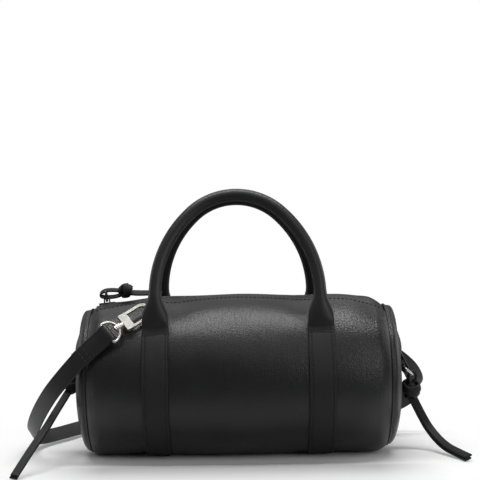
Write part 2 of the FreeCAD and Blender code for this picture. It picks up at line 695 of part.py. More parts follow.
def hook_gate():
    """Gate: a bar from the pin in the block to the nose of the bow."""
    pivot = gate_pivot()
    half = GATE_THICK / 2
    tip = BLOCK_START + BLOCK_LENGTH + BOW_LENGTH - BLOCK_HALF - 1.2 - RUN_GAP
    eye = Part.makeCylinder(1.7, GATE_THICK, V(pivot.x, pivot.y, -half), V(0, 0, 1))
    bar = box(pivot.x, tip, pivot.y - 0.2, pivot.y + 1.6, -half, half)
    hole = Part.makeCylinder(GATE_PIN + WIRE_PLAY, GATE_THICK + 2, V(pivot.x, pivot.y, -half - 1), V(0, 0, 1))
    return clipped(fused([eye, bar]).cut(hole))


def gate_pin():
    pivot = gate_pivot()
    half = BLOCK_THICK / 2
    return clipped(Part.makeCylinder(GATE_PIN - 0.02, BLOCK_THICK, V(pivot.x, pivot.y, -half), V(0, 0, 1)))


def strap_fold():
    """Strap end folded back round the loop's bar and sewn to itself, in front-clip place."""
    bar, along, across, inward, fall = clip_frame()
    half = STRAP_WIDTH / 2
    bore = WIRE + WIRE_PLAY
    thick = 2 * STRAP_THICK
    sheet = box(0, FOLD_LENGTH, -half, half, -thick / 2, thick / 2)
    nose = Part.makeCylinder(thick / 2, STRAP_WIDTH, V(0, -half, 0), V(0, 1, 0))
    hole = Part.makeCylinder(bore, STRAP_WIDTH + 2, V(0, -half - 1, 0), V(0, 1, 0))
    return placed(fused([sheet, nose]).cut(hole), bar, fall, across, fall.cross(across))


def shoulder_strap():
    """Strap from the front fold round the left end, behind the bag, to the rear fold."""
    bar, along, across, inward, fall = clip_frame()
    start = bar + fall * FOLD_LENGTH
    back = FreeCAD.Rotation(V(0, 0, 1), 180)
    points = [start] + [V(*place) for place, edge in STRAP_ROUTE] + [back.multVec(start)]
    edges = [across] + [V(*edge) for place, edge in STRAP_ROUTE] + [back.multVec(across)]
    strap = ribbon(points, edges, STRAP_WIDTH, STRAP_THICK)
    return fused([strap, strap_fold(), turned(strap_fold())])


def bag_nodes():
    strip_end = MOUTH_HALF + STRIP_LAP
    strip = crown_layer(STRIP_TOP, STRIP_THICK, ZIP_GAP_HALF, strip_end, PANEL_END)
    tape = crown_layer(TAPE_TOP, TAPE_THICK, TAPE_INNER, TAPE_INNER + TAPE_WIDTH, TAPE_END)
    front_coil = coil()
    nodes = {
        "barrel_panel": barrel_layer(0.0, LEATHER, PANEL_END, MOUTH_HALF),
        "barrel_stiffener": barrel_layer(STIFFENER_TOP, STIFFENER_TOP + STIFFENER, PANEL_END, INNER_MOUTH),
        "barrel_lining": barrel_layer(LINING_TOP, LINING_TOP + LINING, PANEL_END, INNER_MOUTH),
        "zip_strip_front": strip,
        "zip_strip_back": mirrored(strip, V(0, 1, 0)),
        "zip_tape_front": tape,
        "zip_tape_back": mirrored(tape, V(0, 1, 0)),
        "zip_coil_front": front_coil,
        "zip_coil_back": mirrored(front_coil, V(0, 1, 0)),
        "zip_stops": zip_stops(),
        "zip_slider": slider(),
        "zip_pull_tab": pull_tab(),
        "zip_lace": zip_lace(),
    }
    lining_rim = barrel_radius(PANEL_END, LINING_TOP + LINING) - 1.0
    for side, name in ((-1, "left"), (1, "right")):
        nodes[name + "_band"] = band(side)
        nodes[name + "_piping"] = piping(side)
        nodes[name + "_end_panel"] = end_layer(side, 0.0, LEATHER, end_rim())
        nodes[name + "_end_lining"] = end_layer(side, LEATHER + SEAM_GAP, LEATHER + SEAM_GAP + LINING, lining_rim)
        nodes[name + "_ring_tab"] = ring_tab(side)
        nodes[name + "_end_ring"] = end_ring(side)
        nodes[name + "_lace_knot"] = lace_knot(side)
    nodes["left_lace_tails"] = lace_tails(LEFT_TAIL_ROUTE, V(1, 0, 0))
    nodes["right_lace_tails"] = lace_tails(RIGHT_TAIL_ROUTE, V(0.6, 0.8, 0.2))
    return nodes


def handle_nodes():
    cover, core, feet = handle_pieces()
    pieces = {"handle_cover": cover, "handle_core": core, "handle_feet": feet}
    nodes = {}
    for name, shape in pieces.items():
        nodes["front_" + name] = shape
        nodes["rear_" + name] = turned(shape)
    return nodes


def strap_nodes():
    pieces = {"strap_ring": strap_loop(), "hook_rivet": hook_rivet(), "hook_body": hook_body(),
              "hook_gate": hook_gate(), "gate_pin": gate_pin()}
    nodes = {"shoulder_strap": shoulder_strap()}
    for name, shape in pieces.items():
        nodes["front_" + name] = shape
        nodes["rear_" + name] = turned(shape)
    return nodes


def main():
    os.makedirs("parts", exist_ok=True)
    nodes = {}
    nodes.update(bag_nodes())
    nodes.update(handle_nodes())
    nodes.update(strap_nodes())
    for name, shape in nodes.items():
        sound = shape.isValid() and all(solid.Volume > 0 for solid in shape.Solids)
        print(name, len(shape.Solids), "solids", round(shape.Volume, 1), "mm3", "" if sound else "NOT SOUND")
        shape.exportStep("parts/" + name + ".step")


if __name__ == "__main__":
    main()
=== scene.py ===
import math

import bmesh
import bpy
import numpy as np
from bpy.props import FloatProperty, FloatVectorProperty, PointerProperty
from bpy.types import Node, NodeSocket, Operator, Panel, PropertyGroup
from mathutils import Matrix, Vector


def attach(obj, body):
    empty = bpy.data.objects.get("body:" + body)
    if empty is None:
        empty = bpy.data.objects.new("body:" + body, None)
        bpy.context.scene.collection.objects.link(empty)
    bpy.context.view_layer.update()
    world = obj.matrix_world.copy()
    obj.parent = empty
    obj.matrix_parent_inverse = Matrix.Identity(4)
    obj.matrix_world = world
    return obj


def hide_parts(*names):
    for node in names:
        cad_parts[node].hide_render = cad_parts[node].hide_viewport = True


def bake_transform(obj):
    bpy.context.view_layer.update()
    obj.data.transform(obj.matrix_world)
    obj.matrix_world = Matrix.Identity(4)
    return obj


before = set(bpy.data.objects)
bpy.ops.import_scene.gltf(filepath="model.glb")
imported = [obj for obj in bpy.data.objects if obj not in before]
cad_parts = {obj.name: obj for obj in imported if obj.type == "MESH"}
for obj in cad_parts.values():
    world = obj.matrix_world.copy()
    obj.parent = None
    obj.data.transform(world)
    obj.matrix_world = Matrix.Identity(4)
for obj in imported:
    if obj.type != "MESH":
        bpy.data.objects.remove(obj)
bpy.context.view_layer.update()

bl_info = {
    "name": "Leather barrel bag",
    "version": (1, 0, 0),
    "blender": (4, 5, 0),
    "location": "3D View > Sidebar > Bag",
    "description": "Dresses the solids of a leather barrel bag with soft leather, stitching and metal",
    "category": "Object",
}

MM = 0.001
TURN = 2 * math.pi

# The solids' sizes and places, in millimetres.
BARREL_RADIUS = 63.2
LENGTHWISE_RADIUS = 1000.0
SHOULDER_RADIUS = 20.0
SHOULDER_WIDTH = 11.5
SEAM_X = 120.5
SHOULDER_TURN = math.asin((SEAM_X - SHOULDER_WIDTH) / LENGTHWISE_RADIUS)
PANEL_END = 118.65
AXIS_Z = 61.2
MOUTH_HALF = 19.0
INNER_MOUTH = 26.0
ZIP_HALF = 108.0
BAND_X = 62.0
BAND_HALF = 10.0
BAND_LIFT = 2.05
HINGE_Y = -51.878
HINGE_Z = 102.318
HANDLE_LEAN = math.radians(12.6)
HANDLE_RADIUS = 4.75
FOOT_HEIGHT = 24.0
TOP_RADIUS = 50.0
TOP_CENTRE = 51.0
SIDE_RADIUS = 86.375
RING_X = 131.218
RING_Z = 64.5
BOW_X = 137.61
BOW_Z = 58.745
KNOT_Z = 49.2
SLIDER_X = -103.5
PULL_X = -103.645
PULL_Z = 120.422
PULL_TURN = math.asin(SLIDER_X / LENGTHWISE_RADIUS)
CLIP_BAR = Vector((-96.8, -57.1167, 98.2920))
CLIP_ALONG = Vector((0.76597, 0.45415, 0.45502))
CLIP_FALL = Vector((-0.74613, 0.07001, -0.66211))
CLIP_ACROSS = CLIP_FALL.cross(CLIP_ALONG).normalized()
CLIP_NORMAL = CLIP_FALL.cross(CLIP_ACROSS).normalized()
FOLD_LENGTH = 28.0

# Where the filled leather brings the end seams, and how far and how squarely the ends stand out from them.
SEAM_SOFT = 115.0
DRAW_START = 84.0
END_RISE = 10.0
END_POWER = 2.9

# Swells of the crown, and hollows beside the handle feet: height, place along the bag and width.
CROWN_SWELLS = ((4.6, 86, 34), (2.3, 4, 40), (2.8, -62, 28), (1.8, 108, 10), (0.9, -114, 12))
FOOT_HOLLOWS = ((2.4, -48, 13), (1.0, 48, 9), (2.6, 108, 14))

# How the leather is turned in at its rims and lips, and how near the floor it lies.
RIM_WIDTH = 3.2
RIM_DEPTH = 0.3
LIP_ROWS = 1.5
LIP_DEPTH = 0.5
FLOOR_CLEAR = 0.3

# Edges that turn by more than this stay sharp.
SHARP_ANGLE = math.radians(60)

# Thicknesses of the cut leather and cloth.
FOLD_THICK = 1.7
LACE_THICK = 1.5
ZIP_LACE_THICK = 1.7
BAND_THICK = 1.7
FACING_THICK = 1.2
TAPE_THICK = 0.5
CLOTH_THICK = 0.5
FELT_THICK = 0.8

# Routes of the strap and the laces: the solids' points and, for the strap, where its lower edge lies.
DOWN = (0.0, 0.0, -1.0)
STRAP_Z = 7.3
STRAP_ON_FLOOR = [
    (-90.0, 122.0), (-46.0, 129.0), (2.0, 131.0), (48.0, 129.0), (84.0, 125.0), (110.0, 119.0),
    (112.0, 97.0), (86.0, 94.0), (46.0, 98.0), (0.0, 100.0), (-44.0, 99.0), (-78.0, 96.5),
    (-103.0, 93.0), (-105.0, 72.0), (-80.0, 69.5), (-42.0, 71.5), (6.0, 73.0),
]
STRAP_ROUTE = [
    ((-136.5, -49.8, 60.0), (0.64, -0.37, -0.67)),
    ((-151.5, -34.0, 39.5), (0.62, -0.33, -0.72)),
    ((-162.0, -12.0, 21.5), (0.58, -0.28, -0.77)),
    ((-166.0, 12.0, 11.0), (0.56, -0.26, -0.79)),
    ((-162.0, 36.0, 7.4), (0.64, -0.38, -0.66)),
    ((-150.0, 60.0, 7.2), (0.66, -0.50, -0.56)),
    ((-140.0, 84.0, 7.2), (0.60, -0.50, -0.62)),
    ((-122.0, 108.0, 7.2), (0.25, -0.25, -0.94)),
    *[((x, y, STRAP_Z), DOWN) for x, y in STRAP_ON_FLOOR],
    ((52.0, 75.5, 7.8), DOWN),
    ((90.0, 79.0, 12.0), (-0.05, 0.05, -1.0)),
    ((120.0, 83.0, 18.5), (-0.15, 0.15, -0.97)),
    ((139.5, 85.0, 25.5), (-0.3, 0.25, -0.92)),
    ((152.0, 79.0, 36.5), (-0.45, 0.3, -0.84)),
    ((152.0, 67.0, 48.0), (-0.56, 0.35, -0.75)),
    ((142.0, 60.0, 64.0), (-0.62, 0.37, -0.69)),
]
LEFT_TAIL_ROUTE = [
    (-137.2, -2.0, 41.7),
    (-135.0, -22.0, 39.5),
    (-134.0, -44.0, 36.5),
    (-139.5, -64.0, 28.5),
    (-148.5, -84.0, 15.5),
    (-157.5, -104.0, 2.4),
]
RIGHT_TAIL_ROUTE = [
    (138.0, -1.0, 41.6),
    (144.8, -1.0, 28.5),
    (151.5, -6.0, 15.0),
    (159.0, -20.0, 5.0),
    (166.0, -36.0, 3.2),
    (172.0, -50.0, 2.4),
]

# How far the knots and tails lie from the solids' places.
KNOT_SHIFT = {"left": (5.6, -4.5, 5.5), "right": (-1.4, -0.5, -1.4)}
TAIL_SHIFT = {
    "left": [(3.4, -2.5, 8.8), (-3.5, 0, 1.5), (-5.5, 0, 0), (-3.2, 0, 0), (-2.2, 0, 0), (0, 0, 0)],
    "right": [(-1.6, 0, 1.4), (-1.5, 0, 0), (-1.5, 0, 0.5), (-1.5, -4.0, 1.4), (-1.8, -6.0, 0.8),
              (-3.0, -7.0, 0.6)],
}

# Each end lace: side, name, route, way of its width, size of its knot, and gap between its two tails.
END_LACES = (
    (-1, "left", LEFT_TAIL_ROUTE, (1.0, 0.0, 0.0), 1.08, 0.45),
    (1, "right", RIGHT_TAIL_ROUTE, (0.9, 0.25, 0.35), 1.28, 0.25),
)

# Half the height from one tail to the other.
TAIL_RISE = 1.05

# Ways of the strands round a knot of 6.5 mm radius along Z, half the size of its middle, and the
# width and thickness of a strand.
KNOT_WRAPS = [
    [(1.5, -1.0, -4.0), (4.2, -2.6, -2.6), (5.2, 1.4, -0.8), (2.6, 4.8, 0.8), (-2.4, 4.9, 1.6),
     (-5.2, 1.2, 1.2), (-4.4, -3.6, 0.0), (0.2, -5.6, -0.8), (4.6, -3.6, 0.6), (5.2, 0.8, 2.6),
     (2.4, 2.6, 4.2)],
    [(-1.0, 2.4, 4.6), (-4.2, 1.6, 4.0), (-5.4, -2.0, 2.0), (-3.0, -5.0, -0.6), (1.6, -5.0, -3.0),
     (3.4, -1.6, -4.6), (1.0, 1.4, -5.4)],
    [(2.0, 1.0, 4.8), (4.6, 2.4, 2.8), (3.4, 4.4, -0.6), (0.0, 4.6, -3.2), (-2.4, 2.0, -5.0),
     (-1.0, -0.6, -5.6)],
]
KNOT_MIDDLE = (4.0, 4.6)
KNOT_STRAND = (4.6, 2.0)

# Pieces of a snap hook, besides the strap.
HOOK_PARTS = ("strap_ring", "hook_rivet", "hook_body", "hook_gate", "gate_pin")

# Camera: pixels of a picture 480 wide, metres and radians.
PICTURE = 480
FOCAL_PIXELS = 1072
SHIFT_PIXELS = (2.7, 22)
SENSOR_MM = 36
CAMERA_PLACE = (0, -0.85, 0.15)
CAMERA_ROLL = math.radians(0.75)

# Studio lights: place, aim and size in metres, and power in watts.
LIGHTS = {
    "overhead": ((0.0, -0.1, 1.0), (0, -0.1, 0.06), (1.0, 0.18), 8.4),
    "back": ((0.0, 0.62, 1.05), (0, 0, 0.08), (1.3, 0.8), 3.0),
    "front": ((0.0, -1.1, 1.3), (0, 0, 0.0), (1.6, 0.7), 2.8),
    "left": ((-1.2, 0.45, 0.5), (0, 0, 0.06), (1.0, 0.9), 3.0),
    "right": ((1.2, 0.45, 0.5), (0, 0, 0.06), (1.0, 0.9), 4.0),
    "left_front": ((-0.9, -0.9, 0.9), (0, 0, 0.06), (0.5, 0.5), 0.4),
    "right_front": ((0.75, -1.0, 0.45), (0, 0, 0.06), (0.35, 0.6), 2.2),
}
AMBIENT = 0.2
FLOOR_REACH = 3000.0
WHITE = (1, 1, 1, 1)


def linear(hex_colour):
    """Linear colour of an sRGB hex value."""
    parts = [int(hex_colour[place:place + 2], 16) / 255 for place in (1, 3, 5)]
    return tuple(p / 12.92 if p <= 0.04045 else ((p + 0.055) / 1.055) ** 2.4 for p in parts)


def colour(name, hex_colour, description):
    return FloatVectorProperty(name=name, description=description, subtype="COLOR",
                               default=linear(hex_colour))


def measure(name, millimetres, description):
    return FloatProperty(name=name, description=description, unit="LENGTH", default=millimetres * MM)


class BagColours(PropertyGroup):
    leather: colour("Leather", "#0d0d0e", "Body, bands and handles")
    leather_high: colour("Leather, rubbed", "#18181a", "Grain tops and worn edges")
    lace: colour("Lace", "#171616", "Thongs on the rings and the zip pull")
    thread: colour("Thread", "#101012", "Sewing thread")
    nickel: colour("Nickel", "#c9c7bf", "Rings and snap hooks")
    dark_nickel: colour("Dark nickel", "#4b4a4a", "Zip slider and pull")
    tape: colour("Zip tape", "#171719", "Woven zip tape")
    lining: colour("Lining", "#2b2927", "Cloth lining")
    felt: colour("Stiffener", "#3c3b3a", "Felt between leather and lining")
    rope: colour("Rope", "#cdbfa4", "Cores of the handles")
    floor: colour("Floor", "#dddfde", "Studio floor")


class BagSizes(PropertyGroup):
    leather: measure("Leather", 1.8, "Thickness of the body leather")
    piping: measure("Piping", 0.8, "Radius of the piping round the end seams")
    stitch_pitch: measure("Stitch pitch", 3.2, "Spacing of the stitches")
    stitch_length: measure("Stitch length", 2.3, "Length of one stitch")
    thread: measure("Thread", 0.5, "Thickness of the thread")
    strap_width: measure("Strap width", 14.0, "Width of the shoulder strap")
    strap_thick: measure("Strap thickness", 2.0, "Thickness of the shoulder strap")
    lace_width: measure("Lace width", 6.0, "Width of the laces")
    grain: measure("Grain", 1.5, "Size of a pebble of the leather's grain")


def colours():
    return bpy.context.scene.bag_colours


def sizes():
    return bpy.context.scene.bag_sizes


def add(tree, kind, inputs=None, **settings):
    """Add a node with its settings, values and links. A node given as a value links by its first output."""
    node = tree.nodes.new(kind)
    for name, value in settings.items():
        setattr(node, name, value)
    for key, value in (inputs or {}).items():
        if isinstance(value, Node):
            value = value.outputs[0]
        if isinstance(value, NodeSocket):
            tree.links.new(value, node.inputs[key])
        else:
            node.inputs[key].default_value = value
    return node


def material_of(name, finish, *details):
    """Material of this name, whose nodes the finish adds the first time that it is asked for."""
    material = bpy.data.materials.get(name)
    if not material:
        material = bpy.data.materials.new(name)
        material.use_nodes = True
        tree = material.node_tree
        tree.nodes.clear()
        place = add(tree, "ShaderNodeTexCoord").outputs["Object"]
        add(tree, "ShaderNodeOutputMaterial", {"Surface": finish(tree, place, *details)})
    return material


def full_grain_leather(tree, place, low, high, gloss, shine, relief):
    """Drum-dyed calf leather with a fine pressed grain and a light wax finish."""
    # Close pebbles with creases between them break up a soft shine. The real grain is about 0.6 mm
    # across, and is drawn coarser here so that it shows.
    pebble = add(tree, "ShaderNodeTexVoronoi", {"Vector": place, "Scale": 1 / sizes().grain},
                 feature="DISTANCE_TO_EDGE")
    crease = add(tree, "ShaderNodeMapRange", {"Value": pebble.outputs["Distance"], "From Max": 0.28})
    pores = add(tree, "ShaderNodeTexNoise", {"Vector": place, "Scale": 1 / (0.5 * MM), "Detail": 2.0})
    height = add(tree, "ShaderNodeMath", {0: pores, 1: 0.35, 2: crease}, operation="MULTIPLY_ADD")
    # Faint creases that run up and down where the leather bends round the barrel.
    drawn = add(tree, "ShaderNodeMapping", {"Vector": place, "Scale": (1.0, 0.16, 0.16)})
    breaks = add(tree, "ShaderNodeTexNoise", {"Vector": drawn, "Scale": 1 / (2.2 * MM), "Detail": 3.0})
    height = add(tree, "ShaderNodeMath", {0: breaks, 1: 1.8, 2: height}, operation="MULTIPLY_ADD")
    bump = add(tree, "ShaderNodeBump", {"Height": height, "Strength": relief, "Distance": 0.25 * MM})
    # Rubbed tops and slow cloudiness from the dye.
    cloud = add(tree, "ShaderNodeTexNoise", {"Vector": place, "Scale": 1 / (26 * MM), "Detail": 4.0})
    edge = add(tree, "ShaderNodeNewGeometry").outputs["Pointiness"]
    worn = add(tree, "ShaderNodeMapRange", {"Value": edge, "From Min": 0.52, "From Max": 0.66})
    share = add(tree, "ShaderNodeMath", {0: cloud, 1: 0.7, 2: worn}, operation="MULTIPLY_ADD", use_clamp=True)
    tint = add(tree, "ShaderNodeMix", {"Factor": share, "A": (*low, 1), "B": (*high, 1)}, data_type="RGBA")
    dull = add(tree, "ShaderNodeMapRange", {
        "Value": cloud, "From Min": 0.3, "From Max": 0.7, "To Min": gloss - 0.015, "To Max": gloss + 0.02})
    return add(tree, "ShaderNodeBsdfPrincipled", {
        "Base Color": tint.outputs["Result"], "Roughness": dull, "Normal": bump, "Specular IOR Level": shine})


def hide(name, tone, gloss, shine, relief):
    return material_of(name, full_grain_leather, tone, colours().leather_high, gloss, shine, relief)


def body_leather():
    return hide("calf_leather_black", colours().leather, 0.33, 0.45, 0.32)


def rolled_leather():
    """The same hide, rolled or pressed, which flattens its grain."""
    return hide("calf_leather_black_pressed", colours().leather, 0.43, 0.44, 0.05)


def band_leather():
    """The same hide with a duller finish."""
    return hide("calf_leather_black_dull", colours().leather, 0.7, 0.44, 0.05)


def lace_leather():
    return hide("lace_leather_black", colours().lace, 0.56, 0.24, 0.2)


def bonded_thread(tree, place):
    """Bonded polyester thread: two plies wound tight, with a faint wax shine."""
    # The plies show as slanting ridges. Their real pitch is about 0.5 mm, and is drawn at about 0.9 mm so
    # that it shows.
    ply = add(tree, "ShaderNodeTexWave", {"Vector": place, "Scale": 1 / (2.4 * MM), "Distortion": 1.0},
              bands_direction="DIAGONAL").outputs["Fac"]
    bump = add(tree, "ShaderNodeBump", {"Height": ply, "Strength": 0.5, "Distance": 0.1 * MM})
    dull = add(tree, "ShaderNodeMapRange", {"Value": ply, "To Min": 0.38, "To Max": 0.55})
    return add(tree, "ShaderNodeBsdfPrincipled", {
        "Base Color": (*colours().thread, 1), "Roughness": dull, "Normal": bump, "Sheen Weight": 0.1})


def sewing_thread():
    return material_of("polyester_thread_black", bonded_thread)


def plated_metal(tree, place, tone, gloss):
    """Zinc casting or steel wire, polished and nickel plated."""
    # A bright plate with rounded corners, faint polishing lines and a little clouding from handling.
    lines = add(tree, "ShaderNodeMapping", {
        "Vector": place, "Rotation": (0.4, 0.6, 0.5), "Scale": (1.0, 14.0, 14.0)})
    scratch = add(tree, "ShaderNodeTexNoise", {"Vector": lines, "Scale": 1 / (4 * MM), "Detail": 3.0})
    cloud = add(tree, "ShaderNodeTexNoise", {"Vector": place, "Scale": 1 / (3 * MM), "Detail": 2.0})
    mixed = add(tree, "ShaderNodeMath", {0: scratch, 1: cloud}, operation="ADD")
    dull = add(tree, "ShaderNodeMapRange", {
        "Value": mixed, "From Min": 0.7, "From Max": 1.3, "To Min": gloss - 0.05, "To Max": gloss + 0.08})
    soft = add(tree, "ShaderNodeBevel", {"Radius": 0.25 * MM}, samples=4)
    bump = add(tree, "ShaderNodeBump", {
        "Height": scratch, "Strength": 0.06, "Distance": 0.05 * MM, "Normal": soft})
    return add(tree, "ShaderNodeBsdfPrincipled", {
        "Base Color": (*tone, 1), "Metallic": 1.0, "Roughness": dull, "Normal": bump})


def woven_cloth(tree, place, tone, thread_mm, sheen):
    """Plain-woven cloth: two crossing sets of threads."""
    # Crossing threads give a fine check of light and dark, dull between them.
    turned = add(tree, "ShaderNodeMapping", {"Vector": place, "Rotation": (0.35, 0.25, 0.0)})
    wave_length = 0.32
    wave = {"Vector": turned, "Scale": wave_length / (thread_mm * MM), "Distortion": 0.4}
    warp = add(tree, "ShaderNodeTexWave", wave, bands_direction="X").outputs["Fac"]
    weft = add(tree, "ShaderNodeTexWave", wave, bands_direction="Y").outputs["Fac"]
    weave = add(tree, "ShaderNodeMath", {0: warp, 1: weft}, operation="MULTIPLY")
    bump = add(tree, "ShaderNodeBump", {"Height": weave, "Strength": 0.6, "Distance": 0.2 * MM})
    low = (*[part * 0.6 for part in tone], 1)
    high = (*[min(1.0, part * 1.3) for part in tone], 1)
    tint = add(tree, "ShaderNodeMix", {"Factor": weave, "A": low, "B": high}, data_type="RGBA")
    return add(tree, "ShaderNodeBsdfPrincipled", {
        "Base Color": tint.outputs["Result"], "Roughness": 0.85, "Normal": bump, "Sheen Weight": sheen})


def lining_cloth():
    return material_of("cotton_twill_lining", woven_cloth, colours().lining, 0.8, 0.1)


def moulded_nylon(tree, place):
    """Extruded nylon filament of the zip coil, dyed black."""
    # Smooth and a little waxy, with slight unevenness from the extruder.
    uneven = add(tree, "ShaderNodeTexNoise", {"Vector": place, "Scale": 1 / (1.5 * MM), "Detail": 2.0})
    dull = add(tree, "ShaderNodeMapRange", {"Value": uneven, "To Min": 0.3, "To Max": 0.48})
    bump = add(tree, "ShaderNodeBump", {"Height": uneven, "Strength": 0.15, "Distance": 0.1 * MM})
    return add(tree, "ShaderNodeBsdfPrincipled", {
        "Base Color": (*colours().tape, 1), "Roughness": dull, "Normal": bump, "IOR": 1.53})


def studio_paper(tree, place):
    """Seamless studio paper: pale and dull, white further off, with painted light and shadow round the bag.
    """
    fibre = add(tree, "ShaderNodeTexNoise", {"Vector": place, "Scale": 1 / (2 * MM), "Detail": 2.0})
    bump = add(tree, "ShaderNodeBump", {"Height": fibre, "Strength": 0.02, "Distance": 0.1 * MM})
    axes = add(tree, "ShaderNodeSeparateXYZ", {0: place})
    depth = add(tree, "ShaderNodeMath", {0: axes.outputs["Y"]}, operation="ABSOLUTE")
    width = add(tree, "ShaderNodeMath", {0: axes.outputs["X"]}, operation="ABSOLUTE")
    # Painted light and shadow in the paper's tone: lighter right under the bag, darker just in front of it.
    clear = add(tree, "ShaderNodeMapRange", {"Value": depth, "From Min": 0.05, "From Max": 0.11})
    soft = add(tree, "ShaderNodeValToRGB", {0: clear})
    painted_shadow_ramp = soft.color_ramp.elements
    painted_shadow_ramp[0].color = (0.92, 0.92, 0.92, 1)
    painted_shadow_ramp[1].color = (*colours().floor, 1)
    for where, shadow_grey in ((0.25, 0.44), (0.45, 0.5), (0.65, 0.6)):
        painted_shadow_ramp.new(where).color = (shadow_grey, shadow_grey, shadow_grey, 1)
    # Beside the bag the painted shadow gives way to a lighter, even tone.
    beside = add(tree, "ShaderNodeMapRange", {"Value": width, "From Min": 0.1, "From Max": 0.15})
    tint = add(tree, "ShaderNodeMix", {"Factor": beside, "A": soft, "B": (0.86, 0.87, 0.86, 1)},
               data_type="RGBA")
    paper = add(tree, "ShaderNodeBsdfPrincipled", {
        "Base Color": tint.outputs["Result"], "Roughness": 0.6, "Normal": bump, "Specular IOR Level": 0.2})
    far = add(tree, "ShaderNodeVectorMath", {0: place}, operation="LENGTH").outputs["Value"]
    fade = add(tree, "ShaderNodeMapRange", {"Value": far, "From Min": 0.12, "From Max": 0.3},
               interpolation_type="SMOOTHSTEP")
    path = add(tree, "ShaderNodeLightPath").outputs
    share = add(tree, "ShaderNodeMath", {0: fade, 1: path["Is Camera Ray"]}, operation="MULTIPLY")
    white = add(tree, "ShaderNodeEmission", {"Color": WHITE, "Strength": 1.0})
    mixed = add(tree, "ShaderNodeMixShader", {0: share, 1: paper, 2: white})
    # The paper turns dark for reflected rays in front of the bag, a painted dimming of its reflection, so the
    # leather mirrors it only faintly.
    faint = add(tree, "ShaderNodeMapRange", {
        "Value": depth, "From Min": 0.08, "From Max": 0.16, "To Max": 0.7})
    dim = add(tree, "ShaderNodeMath", {0: path["Is Glossy Ray"], 1: faint}, operation="MULTIPLY")
    dark = add(tree, "ShaderNodeEmission", {"Color": WHITE, "Strength": 0.0})
    return add(tree, "ShaderNodeMixShader", {0: dim, 1: mixed, 2: dark})


# Plain mesh tools.
def linked(name, data):
    """New object in the scene."""
    piece = bpy.data.objects.new(name, data)
    bpy.context.scene.collection.objects.link(piece)
    return piece


def new_piece(name, points, faces, edges=()):
    """Object whose mesh has these points, in millimetres."""
    mesh = bpy.data.meshes.new(name)
    mesh.from_pydata((np.asarray(points, float).reshape(-1, 3) * MM).tolist(), edges, faces)
    mesh.update()
    return linked(name, mesh)


def grid_faces(rows, columns, round_columns=False):
    faces = []
    for row in range(rows - 1):
        for column in range(columns if round_columns else columns - 1):
            after = (column + 1) % columns
            faces.append((row * columns + column, row * columns + after,
                          (row + 1) * columns + after, (row + 1) * columns + column))
    return faces


def evaluated_mesh(piece):
    """Mesh of an object as its modifiers or its curve make it."""
    bpy.context.view_layer.update()
    return bpy.data.meshes.new_from_object(piece.evaluated_get(bpy.context.evaluated_depsgraph_get()))


def made_plain(piece):
    """Bake an object's modifiers into its mesh."""
    mesh = evaluated_mesh(piece)
    old = piece.data
    piece.modifiers.clear()
    piece.data = mesh
    bpy.data.meshes.remove(old)
    mesh.name = piece.name
    return piece


def leather_sheet(name, points, thick, outward):
    """Sheet through a grid of points, with its faces turned outwards and its thickness inwards."""
    rows, columns = points.shape[:2]
    faces = grid_faces(rows, columns)
    corner = points.reshape(-1, 3)[np.array(faces)]
    normal = np.cross(corner[:, 2] - corner[:, 0], corner[:, 3] - corner[:, 1])
    if (normal * outward(corner.mean(axis=1))).sum() < 0:
        faces = [face[::-1] for face in faces]
    piece = new_piece(name, points, faces)
    wall = piece.modifiers.new("wall", "SOLIDIFY")
    wall.thickness = thick * MM
    wall.offset = -1
    return made_plain(piece)


def from_axis(points):
    """Outward direction of the barrel."""
    return points * (0, 1, 1) - (0, 0, AXIS_Z)


def tube(name, rings):
    """Closed tube through rings of points, capped at both ends."""
    count, sides = rings.shape[:2]
    faces = grid_faces(count, sides, True)
    faces.append(tuple(range(sides)))
    faces.append(tuple((count - 1) * sides + side for side in range(sides)))
    piece = new_piece(name, rings, faces)
    work = bmesh.new()
    work.from_mesh(piece.data)
    bmesh.ops.recalc_face_normals(work, faces=work.faces)
    work.to_mesh(piece.data)
    work.free()
    return piece


def unit(vectors):
    return vectors / np.linalg.norm(vectors, axis=-1, keepdims=True)


def round_turns(count):
    """Angles evenly round a circle."""
    return np.linspace(0, TURN, count + 1)[:-1]


def strip(name, line, across, outline):
    """Flat strip along a line, with the way of its width and the outline of its cut end."""
    along = unit(np.gradient(line, axis=0))
    across = np.asarray(across, float)
    across = unit(across - along * (across * along).sum(axis=-1, keepdims=True))
    through = np.cross(along, across)
    sides = np.asarray(outline)
    rings = line[:, None] + across[:, None] * sides[None, :, :1] + through[:, None] * sides[None, :, 1:]
    return tube(name, rings)


def strip_outline(width, thick, groove=0.0):
    """Cut end of a strip: rounded edges, soft faces and a pressed line beside each edge."""
    half, deep = width / 2, thick / 2
    rim = min(0.45 * deep, 0.2 * half)
    face = [(-half + rim, deep * 0.86), (-half + 2.2 * rim, deep), (-half + 4.0 * rim, deep - groove),
            (-half + 5.6 * rim, deep), (0, deep * 1.04)]
    upper = face + [(-a, b) for a, b in face[-2::-1]]
    edge = [(half - 0.25 * rim, deep * 0.45), (half, 0), (half - 0.25 * rim, -deep * 0.45)]
    return upper + edge + [(-a, -b) for a, b in upper] + [(-a, -b) for a, b in edge]


def line_through(points):
    """Points read along a NURBS line through given control points, in millimetres."""
    curve = bpy.data.curves.new("line", "CURVE")
    curve.dimensions = "3D"
    curve.resolution_u = 10
    spline = curve.splines.new("NURBS")
    spline.points.add(len(points) - 1)
    for knot, place in zip(spline.points, points):
        knot.co = (*(Vector(place) * MM), 1)
    spline.order_u = 3
    spline.use_endpoint_u = True
    holder = linked("line", curve)
    mesh = evaluated_mesh(holder)
    found = np.array([vertex.co for vertex in mesh.vertices]) / MM
    bpy.data.objects.remove(holder)
    bpy.data.curves.remove(curve)
    bpy.data.meshes.remove(mesh)
    return found


